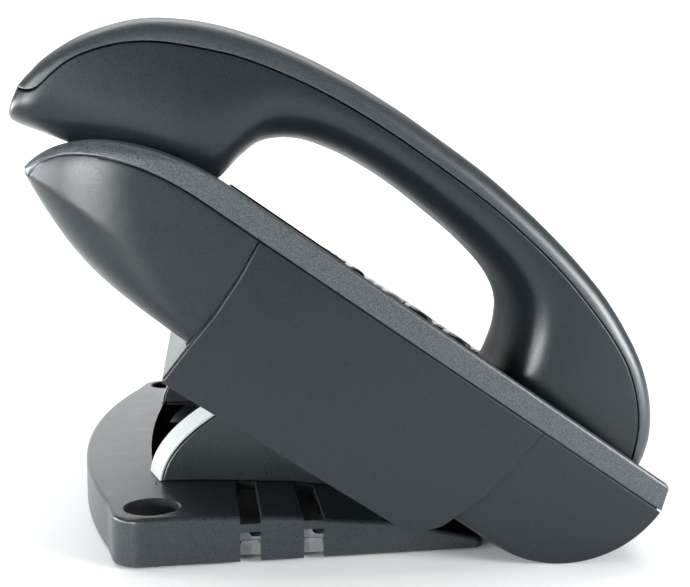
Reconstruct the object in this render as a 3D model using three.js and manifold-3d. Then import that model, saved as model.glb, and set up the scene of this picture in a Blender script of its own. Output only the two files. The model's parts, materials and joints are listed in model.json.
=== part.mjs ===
// Desk telephone: a tilting console on a desk stand, with a handset that rests on its left side.
// Millimetres, +Z up. +X points to the person who uses the phone, -Y is the handset's side.
// The origin is the middle of the bottom, on the desk.
import * as THREE from "three";
import { mergeVertices } from "three/addons/utils/BufferGeometryUtils.js";
import Module from "manifold-3d";

const wasm = await Module();
wasm.setup();

// ---------------------------------------------------------------- driving dimensions
const GAP = 0.3; // between pieces that touch
const WALL = 2.4; // moulded shells
const TILT = THREE.MathUtils.degToRad(34.62); // console face above the desk

// Console, in its own frame: x from the rear edge to the front edge, z out of the face, face at z = 0.
const FACE_LENGTH = 204.5;
const HALF_WIDTH = 118.5;
const DEPTH = 43.5; // face to belly
const SHOULDER = 48; // length of the curved rear of the face
const REAR_EDGE_DROP = 28.5; // the rear edge lies this far below the face
const BAND = 7.6; // height of the bezel's side band, down to the seam
const BELLY_END = 170; // where the belly starts to curve up to the front edge
const FRONT_BULGE = 2.3; // the front end stands out this far past the face
const BELLY_EDGE = 6; // radius along the belly's sides
const REAR_CORNER = 8.5; // corner radii in plan
const REAR_CORNER_BELLY = 24;
const REAR_SWELL = 1.3; // the rear edge stands out this far past its curves
const FRONT_CORNER = 1.2;
const SEAM_RISE_END = 44; // the seam climbs from the rear edge to this x
const TIP_HEIGHT = 22.9; // front edge of the face above the desk
const ORIGIN_TO_TIP = 94.889; // from the origin forward to the front edge of the face

// Handset and its cradle, in the console's frame.
const HANDSET_Y = -86.4;
const WELL_HALF = 25.6;
const EAR_SLOPE = 0.2153; // rise of the ear face per millimetre
const WELL_CLEARANCE = 1.2;
const EAR_WELL_END = 50;
const MOUTH_WELL_START = 144;
const MOUTH_WELL_END = 201.6;
const MOUTH_WELL_FLOOR = -9.5;

// Block under the console that takes the struts, and its hinge, in the console's frame.
const BLOCK_REAR = 62.9;
const BLOCK_BOTTOM = -54.5;
const BLOCK_FRONT = 155.4;
const CHEEK = 2.5; // thickness of the block's walls
const HINGE_X = 146;
const HINGE_Z = -48.8;
const PIN_RADIUS = 2.5;
const EAR_RADIUS = 5.2;
const STRUT_INNER = 54; // struts lie between these distances from the middle
const STRUT_OUTER = 67.4;
const STRUT_PLAY = 1.2;
const STRUT_SKEW = 3.7; // how far a strut's rear face leans back over its thickness
const TRIM = 1.3; // bright strip on the rear face of a strut
const STRUT_WELL_TOP = -32;

// Pads under the belly's front; x is in the desk frame below.
const FRONT_PAD = { x: -32.4, y: 84, length: 9, width: 26, height: 1.6 };

// Foot, in a desk frame whose x is measured forward from the console's front edge.
const FOOT_BOTTOM = 0.8;
const RIM_RADIUS = 298;
const RIM_X = -179.6; // rearmost point of the foot
const FOOT_FRONT = -52;
const FOOT_HALF_REAR = 105.9;
const FOOT_HALF_FRONT = 101.8;
const DECK = 2.5;
const BOLT_HOLE = { x: -152.6, y: 94, radius: 8.15 };
const SLOT_CENTRES = [-123.5, -104.6];
const SLOT_WIDTH = 6.1;
const SLOT_DEPTH = 37.5; // in from the foot's side

// Keys, in the console's frame.
const KEY_RISE = 1.8;
const KEY_FOOT = -5.2;
const KEY_PLAY = 0.35;
const SELECT_PLAY = 0.5; // around the select key, which lies in a key that rocks
const PITCH = 17.5; // of the dial rows
const DIAL_ROW = 132.9; // middle of the first dial row
const DIAL_COLUMNS = [-30, -9, 12];
const DISPLAY = { x0: 50, x1: 98, y0: -42, y1: 60 };

// ---------------------------------------------------------------- materials
function plastic(color, roughness) {
  return new THREE.MeshStandardMaterial({ color, roughness, metalness: 0 });
}
const charcoal = plastic(0x3d444c, 0.45);
const charcoalCoarse = plastic(0x41484f, 0.55);
const charcoalDark = plastic(0x2b2f34, 0.5);
const blackKey = plastic(0x15171a, 0.3);
const silverKey = plastic(0xa9adb2, 0.35);
const paleGrey = plastic(0x8b9096, 0.5);
const lensPlastic = plastic(0x9aa2a6, 0.12);
const rubber = plastic(0x1a1b1d, 0.85);
const boardGreen = plastic(0x1f5a38, 0.55);
const cellWrap = plastic(0x2f6f9a, 0.4);
const bright = new THREE.MeshStandardMaterial({ color: 0xc4c8cc, roughness: 0.25, metalness: 1 });
const gold = new THREE.MeshStandardMaterial({ color: 0xd8b45a, roughness: 0.3, metalness: 1 });

// ---------------------------------------------------------------- solids
function solid(geometry) {
  const bare = geometry.index ? geometry.toNonIndexed() : geometry.clone();
  bare.deleteAttribute("normal");
  bare.deleteAttribute("uv");
  const merged = mergeVertices(bare, 1e-4);
  return new wasm.Manifold(new wasm.Mesh({
    numProp: 3,
    vertProperties: new Float32Array(merged.attributes.position.array),
    triVerts: new Uint32Array(merged.index.array),
  }));
}

function geometryOf(shape) {
  const mesh = shape.getMesh();
  const geometry = new THREE.BufferGeometry();
  geometry.setAttribute("position", new THREE.BufferAttribute(new Float32Array(mesh.vertProperties), 3));
  geometry.setIndex(new THREE.BufferAttribute(new Uint32Array(mesh.triVerts), 1));
  geometry.computeVertexNormals();
  return geometry;
}

function boxGeometry(x0, x1, y0, y1, z0, z1) {
  const geometry = new THREE.BoxGeometry(x1 - x0, y1 - y0, z1 - z0);
  return geometry.translate((x0 + x1) / 2, (y0 + y1) / 2, (z0 + z1) / 2);
}

const box = (...limits) => solid(boxGeometry(...limits));

// A ring of points per section, all with the same count, closed by flat ends.
function loftGeometry(rings) {
  const count = rings[0].length;
  const positions = rings.flat().flatMap((p) => [p.x, p.y, p.z]);
  const index = [];
  for (let i = 0; i + 1 < rings.length; i += 1) {
    for (let j = 0; j < count; j += 1) {
      const a = i * count + j;
      const b = i * count + ((j + 1) % count);
      index.push(a, b, a + count, b, b + count, a + count);
    }
  }
  const last = (rings.length - 1) * count;
  for (let j = 1; j + 1 < count; j += 1) {
    index.push(0, j + 1, j);
    index.push(last, last + j, last + j + 1);
  }
  const geometry = new THREE.BufferGeometry();
  geometry.setAttribute("position", new THREE.Float32BufferAttribute(positions, 3));
  geometry.setIndex(index);
  return geometry;
}

// A side-view outline of [x, z] points, extruded across from y0 to y1.
function sideGeometry(outline, y0, y1) {
  const shape = new THREE.Shape(outline.map(([x, z]) => new THREE.Vector2(x, z)));
  const geometry = new THREE.ExtrudeGeometry(shape, { depth: y1 - y0, bevelEnabled: false });
  return geometry.rotateX(Math.PI / 2).translate(0, y1, 0);
}

const side = (outline, y0, y1) => solid(sideGeometry(outline, y0, y1));

function mirrored(shape) {
  return shape.mirror([0, 1, 0]);
}

function both(shape) {
  return shape.add(mirrored(shape));
}

// Counter-clockwise rounded rectangle as plan points, with its own radius at each x end.
function roundedPlan(x0, x1, half, radius0, radius1, steps) {
  const corners = [
    [x1 - radius1, -half + radius1, radius1, -90],
    [x1 - radius1, half - radius1, radius1, 0],
    [x0 + radius0, half - radius0, radius0, 90],
    [x0 + radius0, -half + radius0, radius0, 180],
  ];
  const points = [];
  for (const [x, y, radius, start] of corners) {
    for (let i = 0; i <= steps; i += 1) {
      const angle = THREE.MathUtils.degToRad(start + (90 * i) / steps);
      points.push([x + radius * Math.cos(angle), y + radius * Math.sin(angle)]);
    }
  }
  return points;
}

function cylinderAcross(x, z, radius, y0, y1, segments) {
  const geometry = new THREE.CylinderGeometry(radius, radius, y1 - y0, segments);
  return geometry.translate(x, (y0 + y1) / 2, z);
}

function cylinderUp(x, y, radius, z0, z1, segments) {
  const geometry = new THREE.CylinderGeometry(radius, radius, z1 - z0, segments);
  return geometry.rotateX(Math.PI / 2).translate(x, y, (z0 + z1) / 2);
}

// Moves every point of an open line sideways, to the right of its direction.
function offsetLine(points, distance) {
  return points.map(([x, z], i) => {
    const [ax, az] = points[Math.max(i - 1, 0)];
    const [bx, bz] = points[Math.min(i + 1, points.length - 1)];
    const length = Math.hypot(bx - ax, bz - az);
    return [x + (distance * (bz - az)) / length, z - (distance * (bx - ax)) / length];
  });
}

const phone = new THREE.Group();
const consoleGroup = new THREE.Group();
const footGroup = new THREE.Group();
phone.add(consoleGroup, footGroup);
consoleGroup.rotation.y = TILT;
consoleGroup.position.set(
  ORIGIN_TO_TIP - FACE_LENGTH * Math.cos(TILT), 0, TIP_HEIGHT + FACE_LENGTH * Math.sin(TILT),
);
footGroup.position.x = ORIGIN_TO_TIP;

function place(group, name, shape, material) {
  const geometry = shape.isBufferGeometry ? shape : geometryOf(shape);
  const mesh = new THREE.Mesh(geometry, material);
  mesh.name = name;
  group.add(mesh);
  return mesh;
}

// ---------------------------------------------------------------- console envelope
// Rear end of the console at height z: an elliptical shoulder over a curve down to the belly.
function rearX(z) {
  if (z >= -REAR_EDGE_DROP) {
    const rise = (z + REAR_EDGE_DROP) / REAR_EDGE_DROP;
    const swell = REAR_SWELL * Math.max(0, (-z - 12) / 16.5) ** 2;
    return SHOULDER * (1 - Math.sqrt(Math.max(0, 1 - rise * rise))) - swell;
  }
  const s = Math.sqrt(Math.max(0, (z + DEPTH) / (DEPTH - REAR_EDGE_DROP)));
  return SHOULDER * s * (1 - s) + (SHOULDER - 6) * (1 - s) * (1 - s) - REAR_SWELL * s;
}

function rearCorner(z) {
  return THREE.MathUtils.mapLinear(THREE.MathUtils.clamp(-z, 22, 42), 22, 42, REAR_CORNER, REAR_CORNER_BELLY);
}

function frontX(z) {
  if (z > -BAND) {
    return FACE_LENGTH + (FRONT_BULGE * Math.min(-z, BAND)) / BAND;
  }
  const drop = (-z - BAND) / (DEPTH - BAND);
  const reach = FACE_LENGTH + FRONT_BULGE - BELLY_END;
  return BELLY_END + reach * Math.sqrt(Math.max(0, 1 - drop * drop));
}

function halfWidth(z) {
  const topEdge = 1.3;
  if (z > -topEdge) {
    const t = 1 + z / topEdge;
    return HALF_WIDTH - topEdge * (1 - Math.sqrt(1 - t * t));
  }
  if (z > -BAND) {
    return HALF_WIDTH;
  }
  const drafted = HALF_WIDTH - 0.06 * (-z - BAND);
  const intoEdge = -z - (DEPTH - BELLY_EDGE);
  if (intoEdge <= 0) {
    return drafted;
  }
  const t = Math.min(1, intoEdge / BELLY_EDGE);
  return drafted - BELLY_EDGE * (1 - Math.sqrt(1 - t * t));
}

// The envelope, or with an inset the room inside its walls.
function envelope(inset) {
  const levels = [];
  for (const degrees of [90, 78, 66, 54, 42, 30, 20, 10, 0]) {
    levels.push(-REAR_EDGE_DROP * (1 - Math.sin(THREE.MathUtils.degToRad(degrees))));
  }
  levels.push(-0.4, -1.3, -BAND, -32, -35.5, -37.5, -40, -42, -43.1, -DEPTH);
  levels.sort((a, b) => b - a);
  const rings = [];
  const squash = (DEPTH - 2 * inset) / DEPTH;
  for (const z of levels) {
    const plan = roundedPlan(
      rearX(z) + inset, frontX(z) - inset, halfWidth(z) - inset,
      rearCorner(z) - inset, FRONT_CORNER - inset / 2, 4,
    );
    rings.push(plan.map(([x, y]) => new THREE.Vector3(x, y, z * squash - inset)));
  }
  return solid(loftGeometry(rings.reverse()));
}

// Side view of the seam between bezel and lower housing, from rear to front.
function seamLine(lower) {
  const points = [[-30, -29]];
  for (let degrees = 0; degrees <= 90; degrees += 15) {
    const angle = THREE.MathUtils.degToRad(degrees);
    points.push([SEAM_RISE_END - (SEAM_RISE_END - 1) * Math.cos(angle), -29 + (29 - BAND) * Math.sin(angle)]);
  }
  points.push([FACE_LENGTH + 30, -BAND]);
  return offsetLine(points, lower);
}

const outer = envelope(0);
const inner = envelope(WALL);
const across = HALF_WIDTH + 10;
const aboveSeam = side([...seamLine(0), [FACE_LENGTH + 30, 20], [-30, 20]], -across, across);
const belowSeam = side([[-30, -80], [FACE_LENGTH + 30, -80], ...seamLine(GAP).reverse()], -across, across);

// ---------------------------------------------------------------- keys
// Each key: name, middle x and y, size along x and y, material.
function listKeys() {
  const keys = [];
  const digits = ["1", "2", "3", "4", "5", "6", "7", "8", "9", "star", "0", "hash"];
  digits.forEach((digit, i) => {
    const x = DIAL_ROW + PITCH * Math.floor(i / 3);
    keys.push({ name: `dial_key_${digit}`, x, y: DIAL_COLUMNS[i % 3], sx: 10.8, sy: 16, material: blackKey });
  });
  for (let i = 0; i < 4; i += 1) {
    keys.push({ name: `soft_key_${i + 1}`, x: 104, y: -32 + 27.3 * i, sx: 6, sy: 20, material: blackKey });
  }
  for (let i = 0; i < 3; i += 1) {
    const y = DIAL_COLUMNS[i];
    keys.push({ name: `function_key_${i + 1}`, x: 121.2, y, sx: 7.5, sy: 14, material: silverKey });
  }
  for (let i = 0; i < 3; i += 1) {
    keys.push({ name: `call_key_${i + 1}`, x: 150 + PITCH * i, y: 46, sx: 9, sy: 18, material: blackKey });
  }
  return keys;
}

const NAVIGATION = { x: 139, y: 84, radius: 17, middle: 6.5 };
const VOLUME = { x: 185, y: 84, sx: 9, sy: 40 };
const keys = listKeys();

function capGeometry(key, grow, bottom, top, taper) {
  const half = key.sy / 2 + grow;
  const reach = key.sx / 2 + grow;
  const radius = Math.min(half, reach) * 0.8;
  const rings = [];
  const levels = top > 0
    ? [[bottom, 0], [top - taper, 0], [top - taper * 0.3, taper * 0.6], [top, taper * 1.5]]
    : [[bottom, 0], [top, 0]];
  for (const [z, inset] of levels) {
    const plan = roundedPlan(-reach + inset, reach - inset, half - inset, radius - inset, radius - inset, 3);
    rings.push(plan.map(([x, y]) => new THREE.Vector3(key.x + x, key.y + y, z)));
  }
  return loftGeometry(rings);
}

function keySolid(key) {
  const cap = solid(capGeometry(key, 0, KEY_FOOT, KEY_RISE, 1.1));
  const flange = solid(capGeometry(key, 0.8, KEY_FOOT, KEY_FOOT + 1, 0));
  return cap.add(flange);
}

// ---------------------------------------------------------------- bezel
function earFloor(x) {
  return -18.9 - WELL_CLEARANCE + EAR_SLOPE * (x + 10.3);
}

function earWell(grow) {
  return [
    [-20, 6], [-20, earFloor(-20) - grow],
    [EAR_WELL_END - 3 + grow / 2, earFloor(EAR_WELL_END - 3) - grow],
    [EAR_WELL_END + grow, -4], [EAR_WELL_END + grow, 6],
  ];
}

function mouthWell(grow) {
  return [
    [MOUTH_WELL_START - grow, 6], [MOUTH_WELL_START - grow, MOUTH_WELL_FLOOR + 3],
    [MOUTH_WELL_START + 3, MOUTH_WELL_FLOOR - grow], [MOUTH_WELL_END - 3, MOUTH_WELL_FLOOR - grow],
    [MOUTH_WELL_END + grow / 2, MOUTH_WELL_FLOOR + 4], [MOUTH_WELL_END + grow / 2, 6],
  ];
}

function well(outline, grow) {
  const half = WELL_HALF + (grow > 0 ? 1.3 : 0);
  return side(outline(grow), HANDSET_Y - half, HANDSET_Y + half);
}

const HOOK = { x0: 24, x1: 36, y0: -92, y1: -83 };
const CONTACT_YS = [-93, -82];
const CONTACT_X = 165;

function bezel() {
  const room = outer.intersect(aboveSeam).add(envelope(WALL + 0.5));
  const wells = well(earWell, 2.2).add(well(mouthWell, 2.2)).intersect(room);
  let shape = outer.intersect(aboveSeam).subtract(inner).add(wells);
  shape = shape.subtract(well(earWell, 0)).subtract(well(mouthWell, 0));
  const cuts = keys.map((key) => solid(capGeometry(key, KEY_PLAY, -4, 0, 0).translate(0, 0, 1)));
  cuts.push(box(DISPLAY.x0, DISPLAY.x1, DISPLAY.y0, DISPLAY.y1, -6, 5));
  cuts.push(solid(cylinderUp(NAVIGATION.x, NAVIGATION.y, NAVIGATION.radius + KEY_PLAY, -6, 5, 24)));
  cuts.push(solid(capGeometry(VOLUME, KEY_PLAY, -4, 0, 0).translate(0, 0, 1)));
  cuts.push(box(HOOK.x0 - 0.4, HOOK.x1 + 0.4, HOOK.y0 - 0.4, HOOK.y1 + 0.4, -25, 0));
  for (const y of CONTACT_YS) {
    cuts.push(box(CONTACT_X - 2.4, CONTACT_X + 2.4, y - 1.4, y + 1.4, -20, 0));
  }
  for (let i = 0; i < 9; i += 1) {
    const x = 66 + 6 * i;
    cuts.push(box(x, x + 2.2, HANDSET_Y - 15, HANDSET_Y + 15, -5, 5));
  }
  for (const cut of cuts) {
    shape = shape.subtract(cut);
  }
  return shape;
}

place(consoleGroup, "face_bezel", bezel(), charcoalCoarse);

for (const key of keys) {
  place(consoleGroup, key.name, keySolid(key), key.material);
}

// Ring-shaped navigation key around the select key.
function navigationKey() {
  const { x, y, radius, middle } = NAVIGATION;
  const hole = middle + SELECT_PLAY;
  const profile = [
    [hole, KEY_FOOT], [radius + 0.8, KEY_FOOT], [radius + 0.8, KEY_FOOT + 1], [radius, KEY_FOOT + 1],
    [radius, 0.4], [radius - 0.9, 1.2], [hole + 1.6, 0.9], [hole, 0.4], [hole, KEY_FOOT],
  ];
  const ring = new THREE.LatheGeometry(profile.map(([r, z]) => new THREE.Vector2(r, z)), 24);
  return ring.rotateX(Math.PI / 2).translate(x, y, 0);
}

function selectKey() {
  const { x, y, middle } = NAVIGATION;
  const profile = [[0, KEY_FOOT], [middle, KEY_FOOT], [middle, 0.8], [middle - 1.2, 1.5], [0, 1.7]];
  const cap = new THREE.LatheGeometry(profile.map(([r, z]) => new THREE.Vector2(r, z)), 20);
  return cap.rotateX(Math.PI / 2).translate(x, y, 0);
}

place(consoleGroup, "navigation_key", solid(navigationKey()), silverKey);
place(consoleGroup, "select_key", solid(selectKey()), blackKey);
place(consoleGroup, "volume_rocker", solid(capGeometry(VOLUME, 0, -4.6, 1.6, 1.1)), blackKey);

// ---------------------------------------------------------------- block and lower housing

function cheekOutline(grow) {
  const top = -BAND - GAP + grow;
  return [
    [BLOCK_REAR - grow, top], [BLOCK_REAR + 1.2 - grow, -19], [BLOCK_REAR + 1.5 - grow, -29],
    [BLOCK_REAR + 0.9 - grow, -40], [BLOCK_REAR + 1.1 - grow, BLOCK_BOTTOM + 0.8 - grow],
    [BLOCK_REAR + 2.4, BLOCK_BOTTOM - 0.8 - grow], [144.6, BLOCK_BOTTOM + 0.9 - grow],
    [148 + grow, -52.6 - grow], [152.3 + grow, -47.8 - grow],
    [BLOCK_FRONT + grow, -41.6], [158.6 + grow, -33], [160.8 + grow, -20], [162.6 + grow, top],
  ];
}

function cheek(grow) {
  const plate = side(cheekOutline(grow), -HALF_WIDTH - 1, -HALF_WIDTH + CHEEK + grow);
  return both(plate);
}

const SCREWS = [[74, 92], [74, -92]];

function screwHoles() {
  const holes = SCREWS.map(([x, y]) => solid(cylinderUp(x, y, 1.5 + GAP, -50, -35, 12)));
  return holes[0].add(holes[1]);
}

const strutRoom = { y0: STRUT_INNER - STRUT_PLAY, y1: STRUT_OUTER + STRUT_PLAY, x0: 82, x1: 157 };
const JACKS = { x0: 92, x1: 124, half: 34, top: -30 };

function standBlock() {
  const ceiling = -DEPTH - GAP;
  const slab = [
    [BLOCK_REAR + 1, ceiling], [BLOCK_REAR + 1.1, BLOCK_BOTTOM + 0.8], [BLOCK_REAR + 2.4, BLOCK_BOTTOM - 0.8],
    [144.6, BLOCK_BOTTOM + 0.9], [148, -52.6], [152.3, -47.8], [BLOCK_FRONT - 1, ceiling],
  ];
  const hollow = [
    [BLOCK_REAR + CHEEK, ceiling - 2.2], [BLOCK_REAR + CHEEK, -90], [145 - CHEEK, -90],
    [145 - CHEEK, BLOCK_BOTTOM], [150 - CHEEK, -48.8], [BLOCK_FRONT - CHEEK - 1.5, ceiling - 2.2],
  ];
  const cheeks = cheek(0).intersect(box(0, 250, -HALF_WIDTH, HALF_WIDTH, -80, 0));
  const inside = HALF_WIDTH - CHEEK;
  let shape = side(slab, -HALF_WIDTH, HALF_WIDTH).subtract(side(hollow, -inside, inside)).add(cheeks);
  for (const y of [STRUT_INNER - 4.4, STRUT_OUTER + 1]) {
    const round = solid(cylinderAcross(HINGE_X, HINGE_Z, EAR_RADIUS, y, y + 3.4, 20));
    const web = box(HINGE_X - EAR_RADIUS, HINGE_X + EAR_RADIUS, y, y + 3.4, HINGE_Z, ceiling);
    shape = shape.add(both(round.add(web)));
  }
  shape = shape.subtract(both(box(strutRoom.x0, strutRoom.x1, strutRoom.y0, strutRoom.y1, -80, 0)));
  shape = shape.subtract(box(JACKS.x0 - 3, JACKS.x1 + 3, -JACKS.half - 3, JACKS.half + 3, -50, 0));
  shape = shape.subtract(solid(cylinderAcross(HINGE_X, HINGE_Z, PIN_RADIUS + GAP, -90, 90, 20)));
  return shape.subtract(screwHoles());
}

function strutWell(grow) {
  return both(box(
    strutRoom.x0 - grow, strutRoom.x1 + grow, strutRoom.y0 - grow, strutRoom.y1 + grow,
    -60, STRUT_WELL_TOP + grow,
  ));
}

// Rubber pads let into the curved front of the belly. They lie level on the desk.
function frontPad(y, grow) {
  const { length, width, height } = FRONT_PAD;
  const pad = new THREE.BoxGeometry(length + 2 * grow, width + 2 * grow, height + 2 * grow);
  const tip = new THREE.Vector2(FRONT_PAD.x, height / 2 - TIP_HEIGHT).rotateAround(new THREE.Vector2(), TILT);
  return solid(pad.rotateY(-TILT).translate(FACE_LENGTH + tip.x, y, tip.y));
}

function lowerHousing() {
  const bare = outer.intersect(belowSeam).subtract(cheek(GAP));
  const room = inner.subtract(cheek(GAP + 2)).subtract(strutWell(1.8));
  let shape = bare.subtract(room).subtract(strutWell(0));
  shape = shape.subtract(box(JACKS.x0 - GAP, JACKS.x1 + GAP, -JACKS.half - GAP, JACKS.half + GAP, -60, -38));
  shape = shape.subtract(screwHoles());
  shape = shape.subtract(frontPad(FRONT_PAD.y, GAP)).subtract(frontPad(-FRONT_PAD.y, GAP));
  for (let i = 0; i < 7; i += 1) {
    shape = shape.subtract(box(30 + 4 * i, 32 + 4 * i, -20, 20, -60, -35));
  }
  return shape;
}

place(consoleGroup, "lower_housing", lowerHousing(), charcoal);
place(consoleGroup, "stand_block", standBlock(), charcoal);

// ---------------------------------------------------------------- inside the console
place(consoleGroup, "display_lens", box(
  DISPLAY.x0 + GAP, DISPLAY.x1 - GAP, DISPLAY.y0 + GAP, DISPLAY.y1 - GAP, -2, 0.8,
), lensPlastic);
place(consoleGroup, "display_module", box(DISPLAY.x0 - 3, DISPLAY.x1 + 1.2, -46, 64, -8.5, -2.8), paleGrey);
place(consoleGroup, "key_mat", box(100.5, 196, -46, 108, -9.5, -7.2), rubber);
place(consoleGroup, "main_board", box(34, 190, -50, 108, -15.6, -14), boardGreen);
place(consoleGroup, "loudspeaker", solid(cylinderUp(90, HANDSET_Y, 24, -20, -5.5, 24)), charcoalDark);

function jackBlock() {
  let shape = box(JACKS.x0, JACKS.x1, -JACKS.half, JACKS.half, -DEPTH + 0.4, JACKS.top);
  for (const y of [-22, 0, 22]) {
    shape = shape.subtract(box(JACKS.x0 + 9, JACKS.x1 - 9, y - 6.5, y + 6.5, -60, JACKS.top - 3));
  }
  return shape;
}
place(consoleGroup, "jack_block", jackBlock(), charcoalDark);

SCREWS.forEach(([x, y], i) => {
  const profile = [[0, -48.6], [2.9, -48.6], [2.9, -46.4], [1.5, -46.4], [1.5, -37], [0, -37]].map(
    ([r, z]) => new THREE.Vector2(r, z),
  );
  const screw = new THREE.LatheGeometry(profile, 12).rotateX(Math.PI / 2).translate(x, y, 0);
  place(consoleGroup, `housing_screw_${i + 1}`, solid(screw), bright);
});

function hookSwitch() {
  const floor = earFloor((HOOK.x0 + HOOK.x1) / 2);
  const tab = side([
    [HOOK.x0, floor - 9], [HOOK.x1, floor - 9],
    [HOOK.x1, earFloor(HOOK.x1) + 0.8], [HOOK.x0, earFloor(HOOK.x0) + 0.8],
  ], HOOK.y0, HOOK.y1);
  return tab.add(box(HOOK.x0 - 2, HOOK.x1 + 2, HOOK.y0 - 2, HOOK.y1 + 2, floor - 10.5, floor - 9));
}
place(consoleGroup, "hook_switch", hookSwitch(), blackKey);

function chargeContacts() {
  const [near, far] = CONTACT_YS;
  let carrier = box(CONTACT_X - 4, CONTACT_X + 4, near - 4, far + 4, -14, -12.2);
  for (const y of CONTACT_YS) {
    carrier = carrier.add(box(CONTACT_X - 2, CONTACT_X + 2, y - 1, y + 1, -13, -8.2));
  }
  return carrier;
}
place(consoleGroup, "charge_contacts", chargeContacts(), gold);

place(consoleGroup, "front_pad_left", frontPad(-FRONT_PAD.y, 0), rubber);
place(consoleGroup, "front_pad_right", frontPad(FRONT_PAD.y, 0), rubber);

// ---------------------------------------------------------------- handset
// Stations from the ear end to the mouth end: a point on the outer back, the matching point on the
// side that faces the console, and half the width there.
const stations = [
  [-14.8, -10.8, -13.5, -17.6, 12], [-14.8, -9.6, -13.2, -18.7, 18.5], [-14.6, -7, -12, -19.3, 22],
  [-14.2, -3.5, -9.8, -19.1, 24], [-13.2, 1.5, -5, -17.9, 24.8], [-9.8, 9.9, 3.7, -15.9, 25],
  [-4.7, 17.8, 14, -13.7, 25], [2.5, 25.6, 26, -11.1, 25], [7, 29.05, 31.5, -9.9, 25],
  [11.9, 31.9, 37, -8.7, 25], [21.6, 36.5, 42.8, -4.5, 25], [30.7, 39.6, 45.2, 1.2, 24.8],
  [38.2, 41.6, 46.5, 8.9, 24.5], [45.3, 43.1, 49.1, 16.2, 24.2], [52.8, 44.3, 55, 21.7, 24],
  [62.1, 45.4, 63, 25.3, 23.8], [76, 46.3, 76.2, 27.8, 23.6], [90, 46.4, 90.5, 28.4, 23.5],
  [107, 46.1, 106, 27.5, 23.6], [121.2, 44.7, 118.5, 26.2, 23.8], [134.3, 42.8, 130.5, 23.5, 24],
  [147.5, 40.1, 139, 18.8, 24.3], [159.7, 36.6, 143.6, 11.5, 24.6], [170.9, 31.9, 145.8, 3, 25],
  [181, 26.3, 147.5, -5, 25], [189.8, 19, 158, -7.6, 25], [196.1, 10.9, 174, -7.6, 24.6],
  [199.2, 4.1, 186, -7.5, 23.6], [200.7, -1.2, 193, -6.9, 21.5], [200.5, -3.7, 196, -6.2, 16],
];

function handsetRing([ox, oz, ix, iz, half], inset) {
  const length = Math.hypot(ox - ix, oz - iz);
  const backRadius = Math.max(1, Math.min(6, length * 0.3) - inset);
  const faceRadius = Math.max(1, Math.min(7, length * 0.3) - inset);
  const crown = 0.8;
  const at = (y, s) => {
    const t = s / length;
    return new THREE.Vector3(ix + (ox - ix) * t, HANDSET_Y + y, iz + (oz - iz) * t);
  };
  const low = inset;
  const high = length - inset;
  const reach = half - inset;
  const ring = [];
  const arcs = [
    [reach - faceRadius, low + faceRadius, faceRadius, -90],
    [reach - backRadius, high - backRadius - crown, backRadius, 0],
    [-reach + backRadius, high - backRadius - crown, backRadius, 90],
    [-reach + faceRadius, low + faceRadius, faceRadius, 180],
  ];
  arcs.forEach(([y, s, radius, start], corner) => {
    for (let i = 0; i <= 3; i += 1) {
      const angle = THREE.MathUtils.degToRad(start + 30 * i);
      ring.push(at(y + radius * Math.cos(angle), s + radius * Math.sin(angle)));
    }
    if (corner === 1) {
      ring.push(at(0, high));
    }
  });
  return ring;
}

function handsetEnvelope(inset) {
  const used = inset > 0 ? stations.slice(4, -2) : stations;
  return solid(loftGeometry(used.map((station) => handsetRing(station, inset))));
}

// Side view of the seam between the handset's two shells, from the ear end to the mouth end.
const handsetSeam = [
  [-30, -16], [-13.7, -10.4], [-10, -8.6], [-8.4, -3.4], [-4.7, 6.4], [0.7, 13.4], [8.9, 20.3],
  [22.3, 27.2], [33.4, 31.5], [53.2, 35.9], [75.6, 38], [102.1, 38.2], [118, 37.4], [133.1, 35.3],
  [154.2, 30.6], [164.7, 27.1], [174.3, 22.5],
  [186.2, 13.1], [193.7, 0.6], [195.3, -3], [205, -20],
];
const handsetSpan = [HANDSET_Y - 40, HANDSET_Y + 40];
const backSide = side([...handsetSeam, [260, -20], [260, 90], [-60, 90], [-60, -16]], ...handsetSpan);
const faceSide = side([[-30, -60], [205, -60], ...offsetLine(handsetSeam, GAP).reverse()], ...handsetSpan);
const handset = handsetEnvelope(0).subtract(handsetEnvelope(WALL));

function handsetFace() {
  let shape = handset.intersect(faceSide);
  for (const y of CONTACT_YS) {
    shape = shape.subtract(box(CONTACT_X - 4.3, CONTACT_X + 4.3, y - 2.3, y + 2.3, -10, -6.6));
  }
  return shape;
}

place(consoleGroup, "handset_back_shell", handset.intersect(backSide), charcoalCoarse);
place(consoleGroup, "handset_face_shell", handsetFace(), charcoal);

const receiver = new THREE.CylinderGeometry(15, 15, 7, 24).rotateX(Math.PI / 2);
place(consoleGroup, "receiver_capsule", solid(receiver), charcoalDark).position.set(11.5, HANDSET_Y, -7.4);
consoleGroup.getObjectByName("receiver_capsule").rotation.y = -Math.atan(EAR_SLOPE);
const microphone = cylinderUp(177, HANDSET_Y, 4.8, -3.6, 0.4, 16);
place(consoleGroup, "microphone_capsule", solid(microphone), charcoalDark);
place(consoleGroup, "handset_battery", box(62, 108, HANDSET_Y - 8, HANDSET_Y + 8, 31.6, 41.4), cellWrap);
place(consoleGroup, "handset_board", box(150, 188, HANDSET_Y - 15, HANDSET_Y + 15, 4, 5.6), boardGreen);
CONTACT_YS.forEach((y, i) => {
  place(consoleGroup, `handset_contact_${i + 1}`, box(
    CONTACT_X - 4, CONTACT_X + 4, y - 2, y + 2, -7.9, -6.9,
  ), gold);
});

// ---------------------------------------------------------------- foot
const deckLine = [
  [RIM_X - 10, 15.4], [-140, 15.4], [-127, 14.7], [-108, 13.6],
  [-102, 12.7], [-87, 11.2], [-80, 10.4], [FOOT_FRONT, 4.5],
];

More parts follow.
